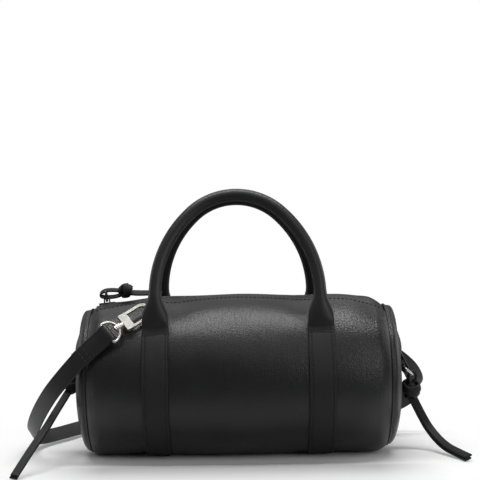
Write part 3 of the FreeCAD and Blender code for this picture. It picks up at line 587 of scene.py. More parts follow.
def joined(name, pieces):
    """One piece from several."""
    work = bmesh.new()
    for piece in pieces:
        mesh = piece.data
        work.from_mesh(mesh)
        bpy.data.objects.remove(piece)
        bpy.data.meshes.remove(mesh)
    mesh = bpy.data.meshes.new(name)
    work.to_mesh(mesh)
    work.free()
    return linked(name, mesh)


def declared(piece, nodes=(), body="bag"):
    """Hide the solids that a piece stands for, and hang it on the one body, if any, that it rides on."""
    if nodes:
        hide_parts(*nodes)
    if body:
        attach(piece, body)
    return piece


def finished(piece, material, nodes=(), body="bag"):
    piece.data.materials.clear()
    piece.data.materials.append(material)
    piece.data.shade_smooth()
    piece.data.set_sharp_from_angle(angle=SHARP_ANGLE)
    return declared(piece, nodes, body)


# The soft barrel.
def barrel_radius(x):
    run = np.abs(x)
    between = LENGTHWISE_RADIUS - SHOULDER_RADIUS
    past = np.clip(run - between * math.sin(SHOULDER_TURN), -SHOULDER_RADIUS, SHOULDER_RADIUS)
    shoulder = np.sqrt(SHOULDER_RADIUS ** 2 - past ** 2) + between * math.cos(SHOULDER_TURN)
    large = np.sqrt(LENGTHWISE_RADIUS ** 2 - run ** 2)
    start = LENGTHWISE_RADIUS * math.sin(SHOULDER_TURN)
    return np.where(run > start, shoulder, large) - (LENGTHWISE_RADIUS - BARREL_RADIUS)


def hill(value, centre, width):
    return np.exp(-((value - centre) / width) ** 2)


def hills(x, table):
    return sum(height * hill(x, place, width) for height, place, width in table)


def fullness(x, turn):
    """How far filling and sag move the leather from the solid's round barrel, in millimetres."""
    run = np.abs(x)
    around = np.minimum(turn, TURN - turn)
    between = np.where(run < BAND_X, np.cos(math.pi * run / (2 * BAND_X)) ** 2,
                       np.sin(math.pi * np.clip((run - BAND_X) / (SEAM_SOFT - BAND_X), 0, 1)))
    side = 1 - hill(around, 0, 0.7)
    crown = hill(around, 0, 0.75)
    base = hill(around, math.pi, 0.7)
    total = 1.3 * between * side * (1 - base)
    total = total + crown * hills(x, CROWN_SWELLS)
    total = total + base * (3.2 * hill(run, 100, 22) + np.where(x < 0, 6.0, 3.6) * hill(run, 122, 14))
    total = total - hill(around, 0.45, 0.33) * hills(x, FOOT_HOLLOWS)
    # Room behind for the snap hook there.
    total = total - 2.6 * hill(x, 82, 24) * hill(turn, TURN - 0.74, 0.32)
    # Slow and quick waves that no two places share, calm near the seams.
    slow = np.sin(x / 17 + 1.7 * np.sin(turn * 2.3 + 0.4)) * np.sin(turn * 3.7 + x / 41 + 1.1)
    quick = np.sin(x / 7.3 + 2.1 * np.sin(turn * 4.1)) * np.sin(turn * 9.7 + x / 13)
    calm = np.clip((PANEL_END - run) / 14, 0, 1)
    return total + calm * side * (0.45 * slow + 0.12 * quick)


def seam_reach(side, turn):
    """Distance of an end seam from the barrel's axis."""
    return barrel_radius(SEAM_X) + fullness(np.full(np.shape(turn), side * SEAM_X), turn)


def drawn_in(x):
    """Place along the bag to which the pull of the ends brings a place of the solid's barrel."""
    run = np.abs(x)
    share = np.clip((run - DRAW_START) / (SEAM_X - DRAW_START), 0, 1)
    return np.sign(x) * (run - (SEAM_X - SEAM_SOFT) * share ** 2 * (3 - 2 * share))


def on_floor(z, floor):
    """Heights eased so that none is below the floor."""
    ease = 0.7
    return floor + ease * np.logaddexp(0, (z - floor) / ease)


def bag_surface(x, turn, lift=0.0):
    """Points of the soft barrel; turn is the angle from the crown over the front."""
    x, turn, lift = np.broadcast_arrays(*[np.asarray(value, float) for value in (x, turn, lift)])
    reach = barrel_radius(x) + fullness(x, turn) + lift
    y = -reach * np.sin(turn)
    z = AXIS_Z + reach * np.cos(turn)
    # The leather stands on the bands, so it lies higher over them.
    edge, soft = 0.7, 0.3
    step = BAND_LIFT / (1 + np.exp((np.abs(np.abs(x) - BAND_X) - BAND_HALF - edge) / soft))
    floor = FLOOR_CLEAR - np.minimum(lift, 0) + np.where(lift > 0.5, 0, step)
    return np.stack([drawn_in(x), y, on_floor(z, floor)], axis=-1)


def turn_at(x, y):
    """Angle from the crown at which the barrel is y from its middle."""
    return np.arcsin(y / barrel_radius(x))


def sheet_columns(count):
    """Places along the barrel, closer together near the two end seams."""
    inset, crowding = 0.6, 0.96
    share = np.linspace(-1, 1, count)
    return (SEAM_X - inset) * np.sin(share * math.pi / 2 * crowding) / math.sin(math.pi / 2 * crowding)


def barrel_sheet(name, lift, thick, mouth, columns, rows):
    """Sheet round the barrel from one lip of its mouth to the other."""
    x = sheet_columns(columns)[None, :]
    start = turn_at(x, mouth)
    share = np.linspace(0, 1, rows)[:, None]
    turn = start + share * (TURN - 2 * start)
    rim = -RIM_DEPTH * np.clip((np.abs(x) - SEAM_X + RIM_WIDTH) / RIM_WIDTH, 0, 1) ** 2
    lip = -LIP_DEPTH * np.clip(1 - np.minimum(share, 1 - share) * rows / LIP_ROWS, 0, 1)
    return leather_sheet(name, bag_surface(x, turn, lift + rim + lip), thick, from_axis)


# Node trees for what repeats or runs along a path.
def path_tree(name, sockets, build):
    """Node tree that builds something along its path, with these inputs beside the path and a material."""
    tree = bpy.data.node_groups.get(name)
    if tree:
        return tree
    tree = bpy.data.node_groups.new(name, "GeometryNodeTree")
    for label, kind in {"Path": "Geometry", **sockets, "Material": "Material"}.items():
        tree.interface.new_socket(label, in_out="INPUT", socket_type="NodeSocket" + kind)
    tree.interface.new_socket("Built", in_out="OUTPUT", socket_type="NodeSocketGeometry")
    given = add(tree, "NodeGroupInput").outputs
    curve = add(tree, "GeometryNodeMeshToCurve", {"Mesh": given["Path"]})
    real = add(tree, "GeometryNodeRealizeInstances", {"Geometry": build(tree, given, curve)})
    smooth = add(tree, "GeometryNodeSetShadeSmooth", {"Geometry": real})
    coloured = add(tree, "GeometryNodeSetMaterial", {"Geometry": smooth, "Material": given["Material"]})
    add(tree, "NodeGroupOutput", {"Built": coloured})
    return tree


def bead_row(tree, given, curve):
    """A small rounded bead again and again along the path."""
    spaced = add(tree, "GeometryNodeResampleCurve", {"Curve": curve, "Length": given["Pitch"]}, mode="LENGTH")
    bead = add(tree, "GeometryNodeMeshUVSphere", {"Segments": 6, "Rings": 5, "Radius": 0.5})
    along = add(tree, "GeometryNodeInputTangent")
    turned = add(tree, "FunctionNodeAlignRotationToVector", {"Vector": along}, axis="X")
    return add(tree, "GeometryNodeInstanceOnPoints", {
        "Points": spaced, "Instance": bead, "Rotation": turned, "Scale": given["Bead"]})


def round_cord(tree, given, curve):
    """A round piping wrapped along the path."""
    section = add(tree, "GeometryNodeCurvePrimitiveCircle", {"Resolution": 12, "Radius": given["Radius"]})
    return add(tree, "GeometryNodeCurveToMesh", {"Curve": curve, "Profile Curve": section})


def bead_tree(name):
    return path_tree(name, {"Pitch": "Float", "Bead": "Vector"}, bead_row)


def along_paths(name, tree, paths, closed, **inputs):
    """Run a node tree along paths of points, in millimetres, and keep the result as a plain mesh."""
    edges = []
    first = 0
    for path in paths:
        last = first + len(path) - 1
        edges += [(place, place + 1) for place in range(first, last)]
        if closed:
            edges.append((last, first))
        first = last + 1
    piece = new_piece(name, np.concatenate(paths), [], edges)
    modifier = piece.modifiers.new(tree.name, "NODES")
    modifier.node_group = tree
    for item in tree.interface.items_tree:
        if item.in_out == "INPUT" and item.name in inputs:
            modifier[item.identifier] = inputs[item.name]
    return made_plain(piece)


def sewn(name, paths, body="bag"):
    """Stitches along paths on the leather."""
    bead = (sizes().stitch_length, sizes().thread, sizes().thread)
    piece = along_paths(name, bead_tree("stitch_rows"), paths, False, Pitch=sizes().stitch_pitch, Bead=bead,
                        Material=sewing_thread())
    return declared(piece, (), body)


class BAG_OT_stage(Operator):
    """Camera, lights, world and floor"""
    bl_idname = "bag.stage"
    bl_label = "Stage"

    def execute(self, context):
        scene = context.scene
        scene.view_settings.view_transform = "Standard"
        lens = bpy.data.cameras.new("camera")
        lens.sensor_width = SENSOR_MM
        lens.lens = SENSOR_MM * FOCAL_PIXELS / PICTURE
        lens.shift_x, lens.shift_y = [pixels / PICTURE for pixels in SHIFT_PIXELS]
        camera = linked("camera", lens)
        camera.location = CAMERA_PLACE
        camera.rotation_euler = (math.radians(90), CAMERA_ROLL, 0)
        scene.camera = camera
        for name, (place, aim, size, power) in LIGHTS.items():
            light = bpy.data.lights.new(name, "AREA")
            light.shape = "RECTANGLE"
            light.size, light.size_y = size
            light.energy = power
            lamp = linked(name, light)
            lamp.location = place
            lamp.rotation_euler = (Vector(aim) - Vector(place)).to_track_quat("-Z", "Y").to_euler()
        world = bpy.data.worlds.new("studio")
        scene.world = world
        world.use_nodes = True
        tree = world.node_tree
        tree.nodes.clear()
        seen = add(tree, "ShaderNodeLightPath").outputs["Is Camera Ray"]
        level = add(tree, "ShaderNodeMapRange", {"Value": seen, "To Min": AMBIENT, "To Max": 1.0})
        sky = add(tree, "ShaderNodeBackground", {"Color": WHITE, "Strength": level})
        add(tree, "ShaderNodeOutputWorld", {"Surface": sky})
        corners = [(a * FLOOR_REACH, b * FLOOR_REACH, 0) for a, b in ((-1, -1), (1, -1), (1, 1), (-1, 1))]
        floor = new_piece("floor", corners, [(0, 1, 2, 3)])
        floor.data.materials.append(material_of("studio_paper", studio_paper))
        return {"FINISHED"}


def on_clip(run, off, reach=0.0):
    """Place on the front strap end: down the strap, off its face and across it."""
    return CLIP_BAR + CLIP_FALL * run + CLIP_NORMAL * off + CLIP_ACROSS * reach


def half_turn(point):
    return Vector((-point.x, -point.y, point.z))


def fold_piece(name, side):
    """Strap end folded round the loop's bar and sewn down; side is 1 in front and -1 behind."""
    places = [(31.0, 0.2), (25.0, 0.9), (16.0, 1.05), (6.0, 1.2), (1.2, 2.2), (-2.2, 1.6), (-2.2, -1.6),
              (1.2, -2.2), (6.0, -1.2), (16.0, -1.05), (24.0, -1.05), (29.0, -1.05)]
    turned = (side, side, 1)
    line = line_through([on_clip(run, off) for run, off in places]) * turned
    outline = strip_outline(sizes().strap_width / MM, FOLD_THICK, groove=0.15)
    return strip(name, line, np.array(CLIP_ACROSS) * turned, outline)


class BAG_OT_strap(Operator):
    """Shoulder strap with its two sewn folds"""
    bl_idname = "bag.strap"
    bl_label = "Shoulder strap"

    def execute(self, context):
        start = on_clip(FOLD_LENGTH, 0.0)
        route = [start] + [Vector(place) for place, edge in STRAP_ROUTE] + [half_turn(start)]
        edges = [CLIP_ACROSS] + [Vector(edge) for place, edge in STRAP_ROUTE] + [half_turn(CLIP_ACROSS)]
        line = line_through(route)
        half_width = 7
        low = line_through([place + edge.normalized() * half_width for place, edge in zip(route, edges)])
        outline = strip_outline(sizes().strap_width / MM, sizes().strap_thick / MM, groove=0.18)
        strap = strip("shoulder_strap_leather", line, low - line, outline)
        finished(strap, rolled_leather(), ["shoulder_strap"])
        with_pieces = []
        for side, name in ((1, "front"), (-1, "rear")):
            fold = finished(fold_piece(name + "_strap_fold", side), rolled_leather())
            rows = [np.array([on_clip(run, off, reach) for reach in (-5.2, 5.2)]) * (side, side, 1)
                    for run in (21.0, 25.5) for off in (1.95, -1.95)]
            with_pieces += [fold, sewn(name + "_strap_fold_stitches", rows)]
            with_pieces += [f"{name}_{part}" for part in HOOK_PARTS]
        return {"FINISHED"}


def knot_piece(name, centre, axes, scale):
    """Overhand knot: strands laid round one another over a tight middle."""
    axes = np.array([Vector(way).normalized() for way in axes])
    sides, layers, top = 16, 9, 0.96
    turn = round_turns(sides)
    wide, tall = KNOT_MIDDLE
    rings = []
    for height in np.linspace(-top, top, layers):
        reach = wide * math.sqrt(1 - height ** 2)
        ring = [reach * np.cos(turn), reach * np.sin(turn), np.full(sides, tall * height)]
        rings.append(np.stack(ring, axis=-1))
    parts = [tube(name + "_middle", (np.array(rings) * scale) @ axes + np.array(centre))]
    outline = np.array(strip_outline(*KNOT_STRAND)) * scale
    for number, way in enumerate(KNOT_WRAPS):
        line = line_through(way)
        along = unit(np.gradient(line, axis=0))
        out = unit(line * (1, 1, 0.55))
        across = np.cross(along, out) @ axes
        parts.append(strip(name + str(number), (line * scale) @ axes + np.array(centre), across, outline))
    return joined(name, parts)


class BAG_OT_end_laces(Operator):
    """Knotted thongs on the two end rings"""
    bl_idname = "bag.end_laces"
    bl_label = "End laces"

    def execute(self, context):
        for side, name, route, edge, scale, apart in END_LACES:
            self.knot(side, name, scale)
            self.tails(name, route, edge, apart)
        return {"FINISHED"}

    def knot(self, side, name, scale):
        """Loop through the ring, drawn into a knot under it."""
        shift = np.array(KNOT_SHIFT[name])
        eye = [(0.4, -6.4), (2.6, -4.4), (3.1, -0.6), (2.0, 2.5), (-1.0, 2.9), (-3.0, 0.8), (-2.8, -3.4),
               (-0.4, -6.4)]
        follow = np.array([1, 0.4, 0, 0, 0, 0, 0.4, 1])[:, None]
        bow = np.array((side * BOW_X, 0, BOW_Z))
        line = line_through(np.array([bow + (side * run, 0, rise) for run, rise in eye]) + follow * shift)
        outline = strip_outline(sizes().lace_width / MM * 0.85, LACE_THICK)
        loop = strip(name + "_eye", line, (0.0, 1.0, 0.0), outline)
        centre = np.array((side * BOW_X, 0, KNOT_Z)) + shift
        lump = knot_piece(name + "_lump", centre, ((1, 0, 0), (0, 1, 0), (0, 0, 1)), scale)
        knot = joined(name + "_knot", [loop, lump])
        finished(knot, lace_leather(), [name + "_lace_knot"], name + "_ring")

    def tails(self, name, route, edge, apart):
        """Two tails from the knot to the floor, one over the other."""
        width = sizes().lace_width / MM
        through = np.array(Vector(edge).normalized())
        control = np.array(route) + TAIL_SHIFT[name]
        for number, splay in ((1, -1), (2, 1)):
            shift = through * splay * apart + (0, 0, TAIL_RISE * splay)
            line = line_through(control + shift)
            tail = strip(f"{name}_lace_tail_{number}", line, edge, strip_outline(width, LACE_THICK))
            finished(tail, lace_leather(), [name + "_lace_tails"], None)
            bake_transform(tail)


def on_pull(points):
    """Points drawn about the pull's cross bar, along and above the crown, set on the bag."""
    points = np.asarray(points, float)
    along, up = points[..., 0], points[..., 2]
    x = PULL_X + along * math.cos(PULL_TURN) + up * math.sin(PULL_TURN)
    z = PULL_Z - along * math.sin(PULL_TURN) + up * math.cos(PULL_TURN)
    return np.stack([x, points[..., 1], z], axis=-1)


class BAG_OT_zip_lace(Operator):
    """Looped and knotted thong on the zip pull"""
    bl_idname = "bag.zip_lace"
    bl_label = "Zip lace"

    def execute(self, context):
        ways = [
            ([(15.0, 0.6, 6.2), (10.0, 0.9, 7.4), (4.0, 0.7, 8.4), (-1.0, 0.3, 8.4), (-4.4, 0.0, 6.6),
              (-4.0, 0.0, 4.2), (-1.4, 0.0, 3.4), (3.0, 0.0, 2.8), (9.0, -0.4, 2.8), (15.0, -0.4, 4.6)], 5.0),
            ([(16.0, -0.6, 4.6), (22.0, -1.2, 3.0), (29.0, -0.6, 2.2), (37.0, 1.6, 1.6), (44.0, 2.8, 1.2)],
             4.2),
            ([(16.0, 1.4, 5.6), (22.0, 2.6, 4.6), (29.0, 3.6, 3.6), (36.0, 5.4, 2.8), (42.0, 6.6, 2.2)], 4.2),
        ]
        parts = []
        for number, (control, width) in enumerate(ways):
            line = line_through(on_pull(control))
            outline = strip_outline(width, ZIP_LACE_THICK)
            parts.append(strip("strand" + str(number), line, (0.0, 1.0, 0.55), outline))
        centre = on_pull((16.0, 0.0, 6.6))
        axes = ((0.0, 1.0, 0.0), (-0.3, 0.0, 1.0), (1.0, 0.0, 0.3))
        parts.append(knot_piece("lump", centre, axes, 0.95))
        finished(joined("zip_lace_thong", parts), lace_leather(), ["zip_lace"], "zip_pull")
        return {"FINISHED"}


class BAG_OT_barrel(Operator):
    """Leather barrel with its stiffener and lining"""
    bl_idname = "bag.barrel"
    bl_label = "Barrel"

    def execute(self, context):
        leather = barrel_sheet("barrel_leather", 0.0, sizes().leather / MM, MOUTH_HALF, 133, 150)
        finished(leather, body_leather(), ["barrel_panel"])
        felt = barrel_sheet("barrel_felt", -2.1, FELT_THICK, INNER_MOUTH, 61, 70)
        grey_felt = material_of("needle_felt_grey", woven_cloth, colours().felt, 0.9, 0.2)
        finished(felt, grey_felt, ["barrel_stiffener"])
        cloth = barrel_sheet("barrel_lining_cloth", -3.1, CLOTH_THICK, INNER_MOUTH, 61, 70)
        finished(cloth, lining_cloth(), ["barrel_lining"])
        return {"FINISHED"}


def end_x(side, share):
    """Place along the bag of an end panel, at a share of the way from its middle to the seam."""
    return side * (SEAM_SOFT + END_RISE * (1 - share ** END_POWER) ** (1 / END_POWER))


def end_sheet(name, side, inset, thick, margin, creases):
    """Domed end with the folds that the ring tab pulls into it."""
    share = np.sin(np.linspace(0.02, math.pi / 2, 60))[:, None]
    turn = np.linspace(0, TURN, 121)[None, :]
    reach = share * (seam_reach(side, turn) - margin)
    y = -reach * np.sin(turn)
    z = AXIS_Z + reach * np.cos(turn)
    x = end_x(side, share) - side * inset
    near = np.hypot(y, (z - RING_Z) * 0.8)
    ray = np.arctan2(y, z - RING_Z)
    fade = np.clip((1 - share) * 5, 0, 1)
    # Fine folds all round the ring, then a deep pair and a raised pair beside the tab.
    folds = creases * fade * hill(near, 0, 24) * np.cos(7 * ray + 0.8 * np.sin(2 * ray))
    lean = np.abs(ray)
    pairs = 1.1 * hill(lean, 0.95, 0.2) - 2.2 * hill(lean, 0.5, 0.2)
    folds = folds + creases * fade * hill(near, 27, 17) * pairs
    # The lower half slumps, and the tab pulls the leather out above the ring.
    slump = fade * 0.5 * hill(z, 36, 24)
    pull = 3.4 * hill(y, 0, 9) * hill(z, 73, 8)
    out = x + side * (1.3 * folds + (slump + pull) * creases)
    points = np.stack([out, y, on_floor(z, 0.4 + inset)], axis=-1)
    return leather_sheet(name, points, thick, lambda middle: np.broadcast_to((side, 0, 0), middle.shape))


class BAG_OT_ends(Operator):
    """Domed ends with their piping, ring tabs and linings"""
    bl_idname = "bag.ends"
    bl_label = "Ends"

    def execute(self, context):
        cord = path_tree("piping", {"Radius": "Float"}, round_cord)
        for side, name in ((-1, "left"), (1, "right")):
            end = end_sheet(name + "_end_leather", side, 0.0, sizes().leather / MM, 0.15, 1.0)
            finished(end, body_leather(), [name + "_end_panel"])
            inner = end_sheet(name + "_end_cloth", side, 2.2, CLOTH_THICK, 6.0, 0.8)
            finished(inner, lining_cloth(), [name + "_end_lining"])
            turn = round_turns(128)
            reach = seam_reach(side, turn)
            seam = np.stack([np.full(128, side * SEAM_SOFT), -reach * np.sin(turn),
                             on_floor(AXIS_Z + reach * np.cos(turn), sizes().piping / MM)], axis=-1)
            piping = along_paths(name + "_piping_leather", cord, [seam], True, Radius=sizes().piping,
                                 Material=body_leather())
            declared(piping, [name + "_piping"])
            self.ring_tab(side, name)
        return {"FINISHED"}

    def ring_tab(self, side, name):
        """Tab sewn in at the top of the end, down over it and round the ring's bar."""
        rim = float(seam_reach(side, np.zeros(1))[0])
        places = [(side * (SEAM_SOFT - 1.0), AXIS_Z + rim - 1.6)]
        for share in (0.985, 0.93, 0.84, 0.7, 0.56, 0.42):
            places.append((end_x(side, share) + side * 0.8, AXIS_Z + rim * share + 0.2))
        for out, height in ((-0.4, 70.0), (2.4, 66.6), (2.4, 62.4), (0.0, 61.4), (-1.9, 63.0), (-1.9, 68.0)):
            places.append((side * (RING_X + out), height))
        line = line_through([(x, 0, z) for x, z in places])
        share = np.linspace(0, 1, len(line))
        wide = np.interp(share, [0, 0.45, 0.62, 1], [15.0, 14.6, 10.6, 10.2])[:, None, None]
        thick = np.interp(share, [0, 0.5, 1], [1.3, 1.6, 1.4])[:, None, None]
        # The edges of its upper part are let into the end.
        sunk = np.interp(share, [0, 0.4, 0.58], [1.7, 1.7, 0.0])[:, None, None]
        along = unit(np.gradient(line, axis=0))
        across = np.broadcast_to((0.0, 1.0, 0.0), line.shape)
        through = np.cross(along, across)
        outline = np.array(strip_outline(1.0, 1.0))
        a, b = outline[None, :, :1], outline[None, :, 1:]
        rings = line[:, None] + across[:, None] * (a * wide)
        rings = rings + through[:, None] * (b * thick - side * (sunk * (2 * a) ** 4))
        finished(tube(name + "_tab_leather", rings), rolled_leather(), [name + "_ring_tab"])
        heights = np.linspace(103, 86, 7)
        sewn_off, sewn_lift = 5.4, 0.95
        x = end_x(side, (heights - AXIS_Z) / rim) + side * sewn_lift
        rows = [np.stack([x, np.full(7, edge), heights], axis=-1) for edge in (-sewn_off, sewn_off)]
        sewn(name + "_tab_stitches", rows)


class BAG_OT_bands(Operator):
    """Bands under the bag, sewn along both edges"""
    bl_idname = "bag.bands"
    bl_label = "Bands"

    def execute(self, context):
        # From an edge to the middle: the rounded edge, the line pressed by the stitches and the flat.
        half = np.array([-10.0, -9.75, -9.2, -8.4, -7.7, -7.0, -5.5, -2.5, 0])
        rise = np.array([0.6, 1.5, 1.95, 2.0, 1.5, 2.0, 2.15, 2.2, 2.2])
        place = np.concatenate([half, -half[-2::-1]])[None, :]
        lift = np.concatenate([rise, rise[-2::-1]])[None, :]
        start = math.radians(31)
        tip = start + np.array([0, 0.008, 0.016, 0.027, 0.04, 0.06])
        middle = np.linspace(start + 0.08, TURN - start - 0.08, 140)
        turn = np.concatenate([tip, middle, TURN - tip[::-1]])[:, None]
        top = np.minimum(turn, TURN - turn) - start
        narrow = np.interp(top, [0, 0.008, 0.016, 0.04, 0.078], [0.5, 0.69, 0.8, 0.93, 1.0])
        # The upper ends are let into the leather behind the handle feet, where the snap hooks pass.
        low = np.interp(top, [0, 0.26, 0.37], [-0.35, -0.35, 1.0])
        sewn_from, sewn_off, sewn_lift = math.radians(55), 7.7, 1.75
        run = np.linspace(sewn_from, TURN - sewn_from, 122)
        for side, name in ((-1, "left"), (1, "right")):
            points = bag_surface(side * BAND_X + place * narrow, turn, lift * low)
            band = leather_sheet(name + "_band_leather", points, BAND_THICK, from_axis)
            finished(band, band_leather(), [name + "_band"])
            rows = [bag_surface(side * BAND_X + edge, run, sewn_lift) for edge in (-sewn_off, sewn_off)]
            sewn(name + "_band_stitches", rows)
        return {"FINISHED"}


class BAG_OT_zip(Operator):
    """Zip strips, tapes and coils along the crown"""
    bl_idname = "bag.zip"
    bl_label = "Zip"

    def execute(self, context):
        for side, name in ((1, "front"), (-1, "back")):
            self.facing(side, name)
            self.tape(side, name)
            self.coil(side, name)
            run = np.linspace(-114, 114, 100)
            rows = [bag_surface(run, turn_at(run, side * off), lift)
                    for off, lift in ((21.0, 0.1), (7.4, -1.85))]
            sewn("zip_stitches_" + name, rows)
        return {"FINISHED"}

    def facing(self, side, name):
        """Leather strip beside the zip, raised into a lip and closing in at both ends."""
        x = sheet_columns(81)[None, :]
        off = np.array([5.0, 5.4, 6.2, 8, 11, 14, 17, 20, 23, 25])[:, None]
        closing = 3.6 * np.clip((np.abs(x) - 111) / 7, 0, 1)
        y = side * (off - closing * (25 - off) / 20)
        lift = np.array([-2.4, -1.9, -1.75, -1.7, -1.7, -1.75, -1.8, -1.85, -1.85, -1.85])[:, None]
        raised = 1.5 * hill(x, -106, 15) * hill(np.abs(y), 6.5, 3.5)
        points = bag_surface(x, turn_at(x, y), lift + raised)
        facing = leather_sheet("zip_facing_" + name, points, FACING_THICK, from_axis)
        finished(facing, body_leather(), ["zip_strip_" + name])

    def tape(self, side, name):
        """Woven tape under the facing, which keeps to the slider's way under the raised lips."""
        run = np.linspace(-119.4, 119.4, 61)[None, :]
        off = np.array([0.75, 3.0, 6.0, 8.0, 10.0, 12.0, 14.0])[:, None]
        depth = 3.35
        drop = fullness(run, 0.0) * np.clip((11 - off) / 4, 0, 1)
        points = bag_surface(run, turn_at(run, side * off), -depth - drop)
        tape = leather_sheet("zip_tape_cloth_" + name, points, TAPE_THICK, from_axis)
        weave = material_of("polyester_zip_tape", woven_cloth, colours().tape, 0.7, 0.1)
        finished(tape, weave, ["zip_tape_" + name])

    def coil(self, side, name):
        """Nylon coil on the tape's inner edge, half a turn out of step with the other one."""
        run = np.linspace(-ZIP_HALF, ZIP_HALF, 91)
        out_of_step, off, depth = 0.6, 1.5, 2.4
        step = run + out_of_step * side
        path = bag_surface(step, turn_at(run, side * off), -depth - fullness(step, 0.0))
        nylon = material_of("nylon_coil_black", moulded_nylon)
        coil = along_paths("zip_coil_nylon_" + name, bead_tree("coil_turns"), [path], False, Pitch=2.4 * MM,
                           Bead=(1.25 * MM, 3.3 * MM, 1.7 * MM), Material=nylon)
        declared(coil, ["zip_coil_" + name])


def superellipse(count, power):
    turn = round_turns(count)
    c, s = np.cos(turn), np.sin(turn)
    return np.sign(c) * np.abs(c) ** (2 / power), np.sign(s) * np.abs(s) ** (2 / power)


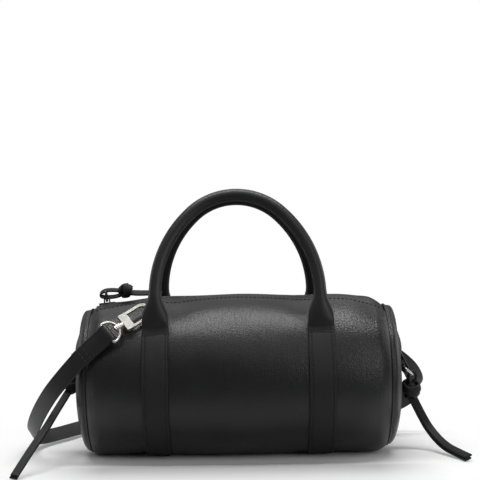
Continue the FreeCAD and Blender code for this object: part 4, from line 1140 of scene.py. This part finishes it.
class BAG_OT_handles(Operator):
    """Rolled handles with flared, sewn feet"""
    bl_idname = "bag.handles"
    bl_label = "Handles"

    def foot(self):
        """Stations from the sewn end up to the roll: place (y, z), half width, half depth, squareness."""
        stations = []
        for angle, lift, wide, deep in ((58.0, 1.5, 9.2, 0.3), (56.4, 1.95, 9.6, 0.3), (54.6, 2.3, 9.8, 0.4),
                                        (52.8, 2.75, 9.9, 0.75), (51.2, 3.1, 9.9, 1.1)):
            place = bag_surface(BAND_X, math.radians(angle), lift)
            stations.append(((place[1], place[2]), wide, deep, 3.2))
        for height, wide, deep, power in ((2.6, 9.8, 1.8, 2.2), (5.5, 9.8, 2.6, 1.9), (9.0, 9.6, 3.4, 1.7),
                                          (13.0, 8.8, 4.1, 1.7), (18.0, 6.6, 4.6, 1.9)):
            place = (HINGE_Y + height * math.sin(HANDLE_LEAN), HINGE_Z + height * math.cos(HANDLE_LEAN))
            stations.append((place, wide, deep, power))
        return stations

    def feet_rings(self, sides):
        """Rings of points of the right foot, upwards."""
        foot = self.foot()
        ways = unit(np.gradient(np.array([station[0] for station in foot]), axis=0))
        rings = []
        for way, (place, wide, deep, power) in zip(ways, foot):
            a, b = superellipse(sides, power)
            face = np.array((0, -way[1], way[0]))
            centre = np.array((BAND_X, *place))
            rings.append(centre + a[:, None] * wide * np.array((1, 0, 0)) + b[:, None] * deep * face)
        return rings

    def rolled(self):
        """Rings of points from the right foot over the arch to the left foot."""
        sides = 32
        lean = np.array((0, math.sin(HANDLE_LEAN), math.cos(HANDLE_LEAN)))
        front = np.array((0, -math.cos(HANDLE_LEAN), math.sin(HANDLE_LEAN)))
        base = np.array((0, HINGE_Y, HINGE_Z))
        feet = self.feet_rings(sides)
        rings = list(feet)
        split = math.atan2(TOP_CENTRE - FOOT_HEIGHT, SIDE_RADIUS - BAND_X)
        a, b = superellipse(sides, 2)
        # The sewn seam stands up as a low ridge along the roll.
        girth = HANDLE_RADIUS * (1 + 0.16 * hill(round_turns(sides), math.radians(140), 0.14))
        for angle in np.concatenate([np.linspace(0, split, 16), np.linspace(split, math.pi - split, 33)[1:],
                                     np.linspace(math.pi - split, math.pi, 16)[1:]]):
            if angle <= split:
                centre, radius = (BAND_X - SIDE_RADIUS, FOOT_HEIGHT), SIDE_RADIUS
            elif angle < math.pi - split:
                centre, radius = (0, TOP_CENTRE), TOP_RADIUS
            else:
                centre, radius = (SIDE_RADIUS - BAND_X, FOOT_HEIGHT), SIDE_RADIUS
            out = np.array((math.cos(angle), 0, 0)) + math.sin(angle) * lean
            middle = base + np.array((centre[0], 0, 0)) + centre[1] * lean + radius * out
            rings.append(middle + (girth * a)[:, None] * out + (girth * b)[:, None] * front)
        rings += [ring * (-1, 1, 1) for ring in reversed(feet)]
        return np.array(rings)

    def execute(self, context):
        rings = self.rolled()
        for side, name in ((1, "front"), (-1, "rear")):
            turned = rings * (side, side, 1)
            # Both handles lean a little to the left.
            lean_from, lean_over, lean_by = 118, 80, (-0.8, 0.0, 0.5)
            up = np.clip((turned[..., 2:] - lean_from) / lean_over, 0, 1)
            turned = turned + up * lean_by
            handle = tube(name + "_handle_leather", turned)
            smooth = handle.modifiers.new("smooth", "SUBSURF")
            smooth.levels = smooth.render_levels = 1
            made_plain(handle)
            nodes = [name + "_handle_cover", name + "_handle_feet"]
            finished(handle, rolled_leather(), nodes, None)
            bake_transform(handle)
            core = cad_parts[name + "_handle_core"]
            core.data.materials.clear()
            core.data.materials.append(material_of("cotton_rope_core", woven_cloth, colours().rope, 1.2, 0.0))
            self.stitches(side, name, turned)
        return {"FINISHED"}

    def stitches(self, side, name, rings):
        """One row along the roll's ridge, and two across each foot."""
        stations, ridge, sunk = 10, 13, 0.985
        roll = rings[stations:-stations]
        middle = roll.mean(axis=1)
        sewn(name + "_roll_stitches", [middle + (roll[:, ridge] - middle) * sunk], name + "_handle")
        rows = []
        for foot in (-1, 1):
            x = np.linspace(-7.4, 7.4, 9) + foot * BAND_X
            for angle, lift in ((55.3, 2.5), (53.7, 3.05)):
                rows.append(bag_surface(x, math.radians(angle), lift) * (side, side, 1))
        sewn(name + "_foot_stitches", rows)


class BAG_OT_metal(Operator):
    """Rings, snap hooks, slider, pull and zip stops"""
    bl_idname = "bag.metal"
    bl_label = "Metal parts"

    def execute(self, context):
        nickel = material_of("nickel_plate_polished", plated_metal, colours().nickel, 0.33)
        dark = material_of("nickel_plate_dark", plated_metal, colours().dark_nickel, 0.28)
        bright = ("end_ring", *HOOK_PARTS)
        for name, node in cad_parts.items():
            if name.startswith("zip_"):
                finish = dark
            elif name.endswith(bright):
                finish = nickel
            else:
                continue
            if not node.hide_render:
                node.data.materials.clear()
                node.data.materials.append(finish)
        return {"FINISHED"}


class BAG_PT_panel(Panel):
    bl_idname = "BAG_PT_panel"
    bl_label = "Leather barrel bag"
    bl_space_type = "VIEW_3D"
    bl_region_type = "UI"
    bl_category = "Bag"

    def draw(self, context):
        for group in (context.scene.bag_sizes, context.scene.bag_colours):
            for name in group.__annotations__:
                self.layout.prop(group, name)
        for operator in OPERATORS:
            self.layout.operator(operator.bl_idname)


OPERATORS = (BAG_OT_stage, BAG_OT_strap, BAG_OT_end_laces, BAG_OT_zip_lace, BAG_OT_barrel, BAG_OT_ends,
             BAG_OT_bands, BAG_OT_zip, BAG_OT_handles, BAG_OT_metal)
CLASSES = (BagColours, BagSizes) + OPERATORS + (BAG_PT_panel,)


def register():
    for kind in CLASSES:
        bpy.utils.register_class(kind)
    bpy.types.Scene.bag_colours = PointerProperty(type=BagColours)
    bpy.types.Scene.bag_sizes = PointerProperty(type=BagSizes)


def unregister():
    del bpy.types.Scene.bag_sizes
    del bpy.types.Scene.bag_colours
    for kind in reversed(CLASSES):
        bpy.utils.unregister_class(kind)


def main():
    register()
    for operator in OPERATORS:
        group, name = operator.bl_idname.split(".")
        getattr(getattr(bpy.ops, group), name)()


if __name__ == "__main__":
    main()
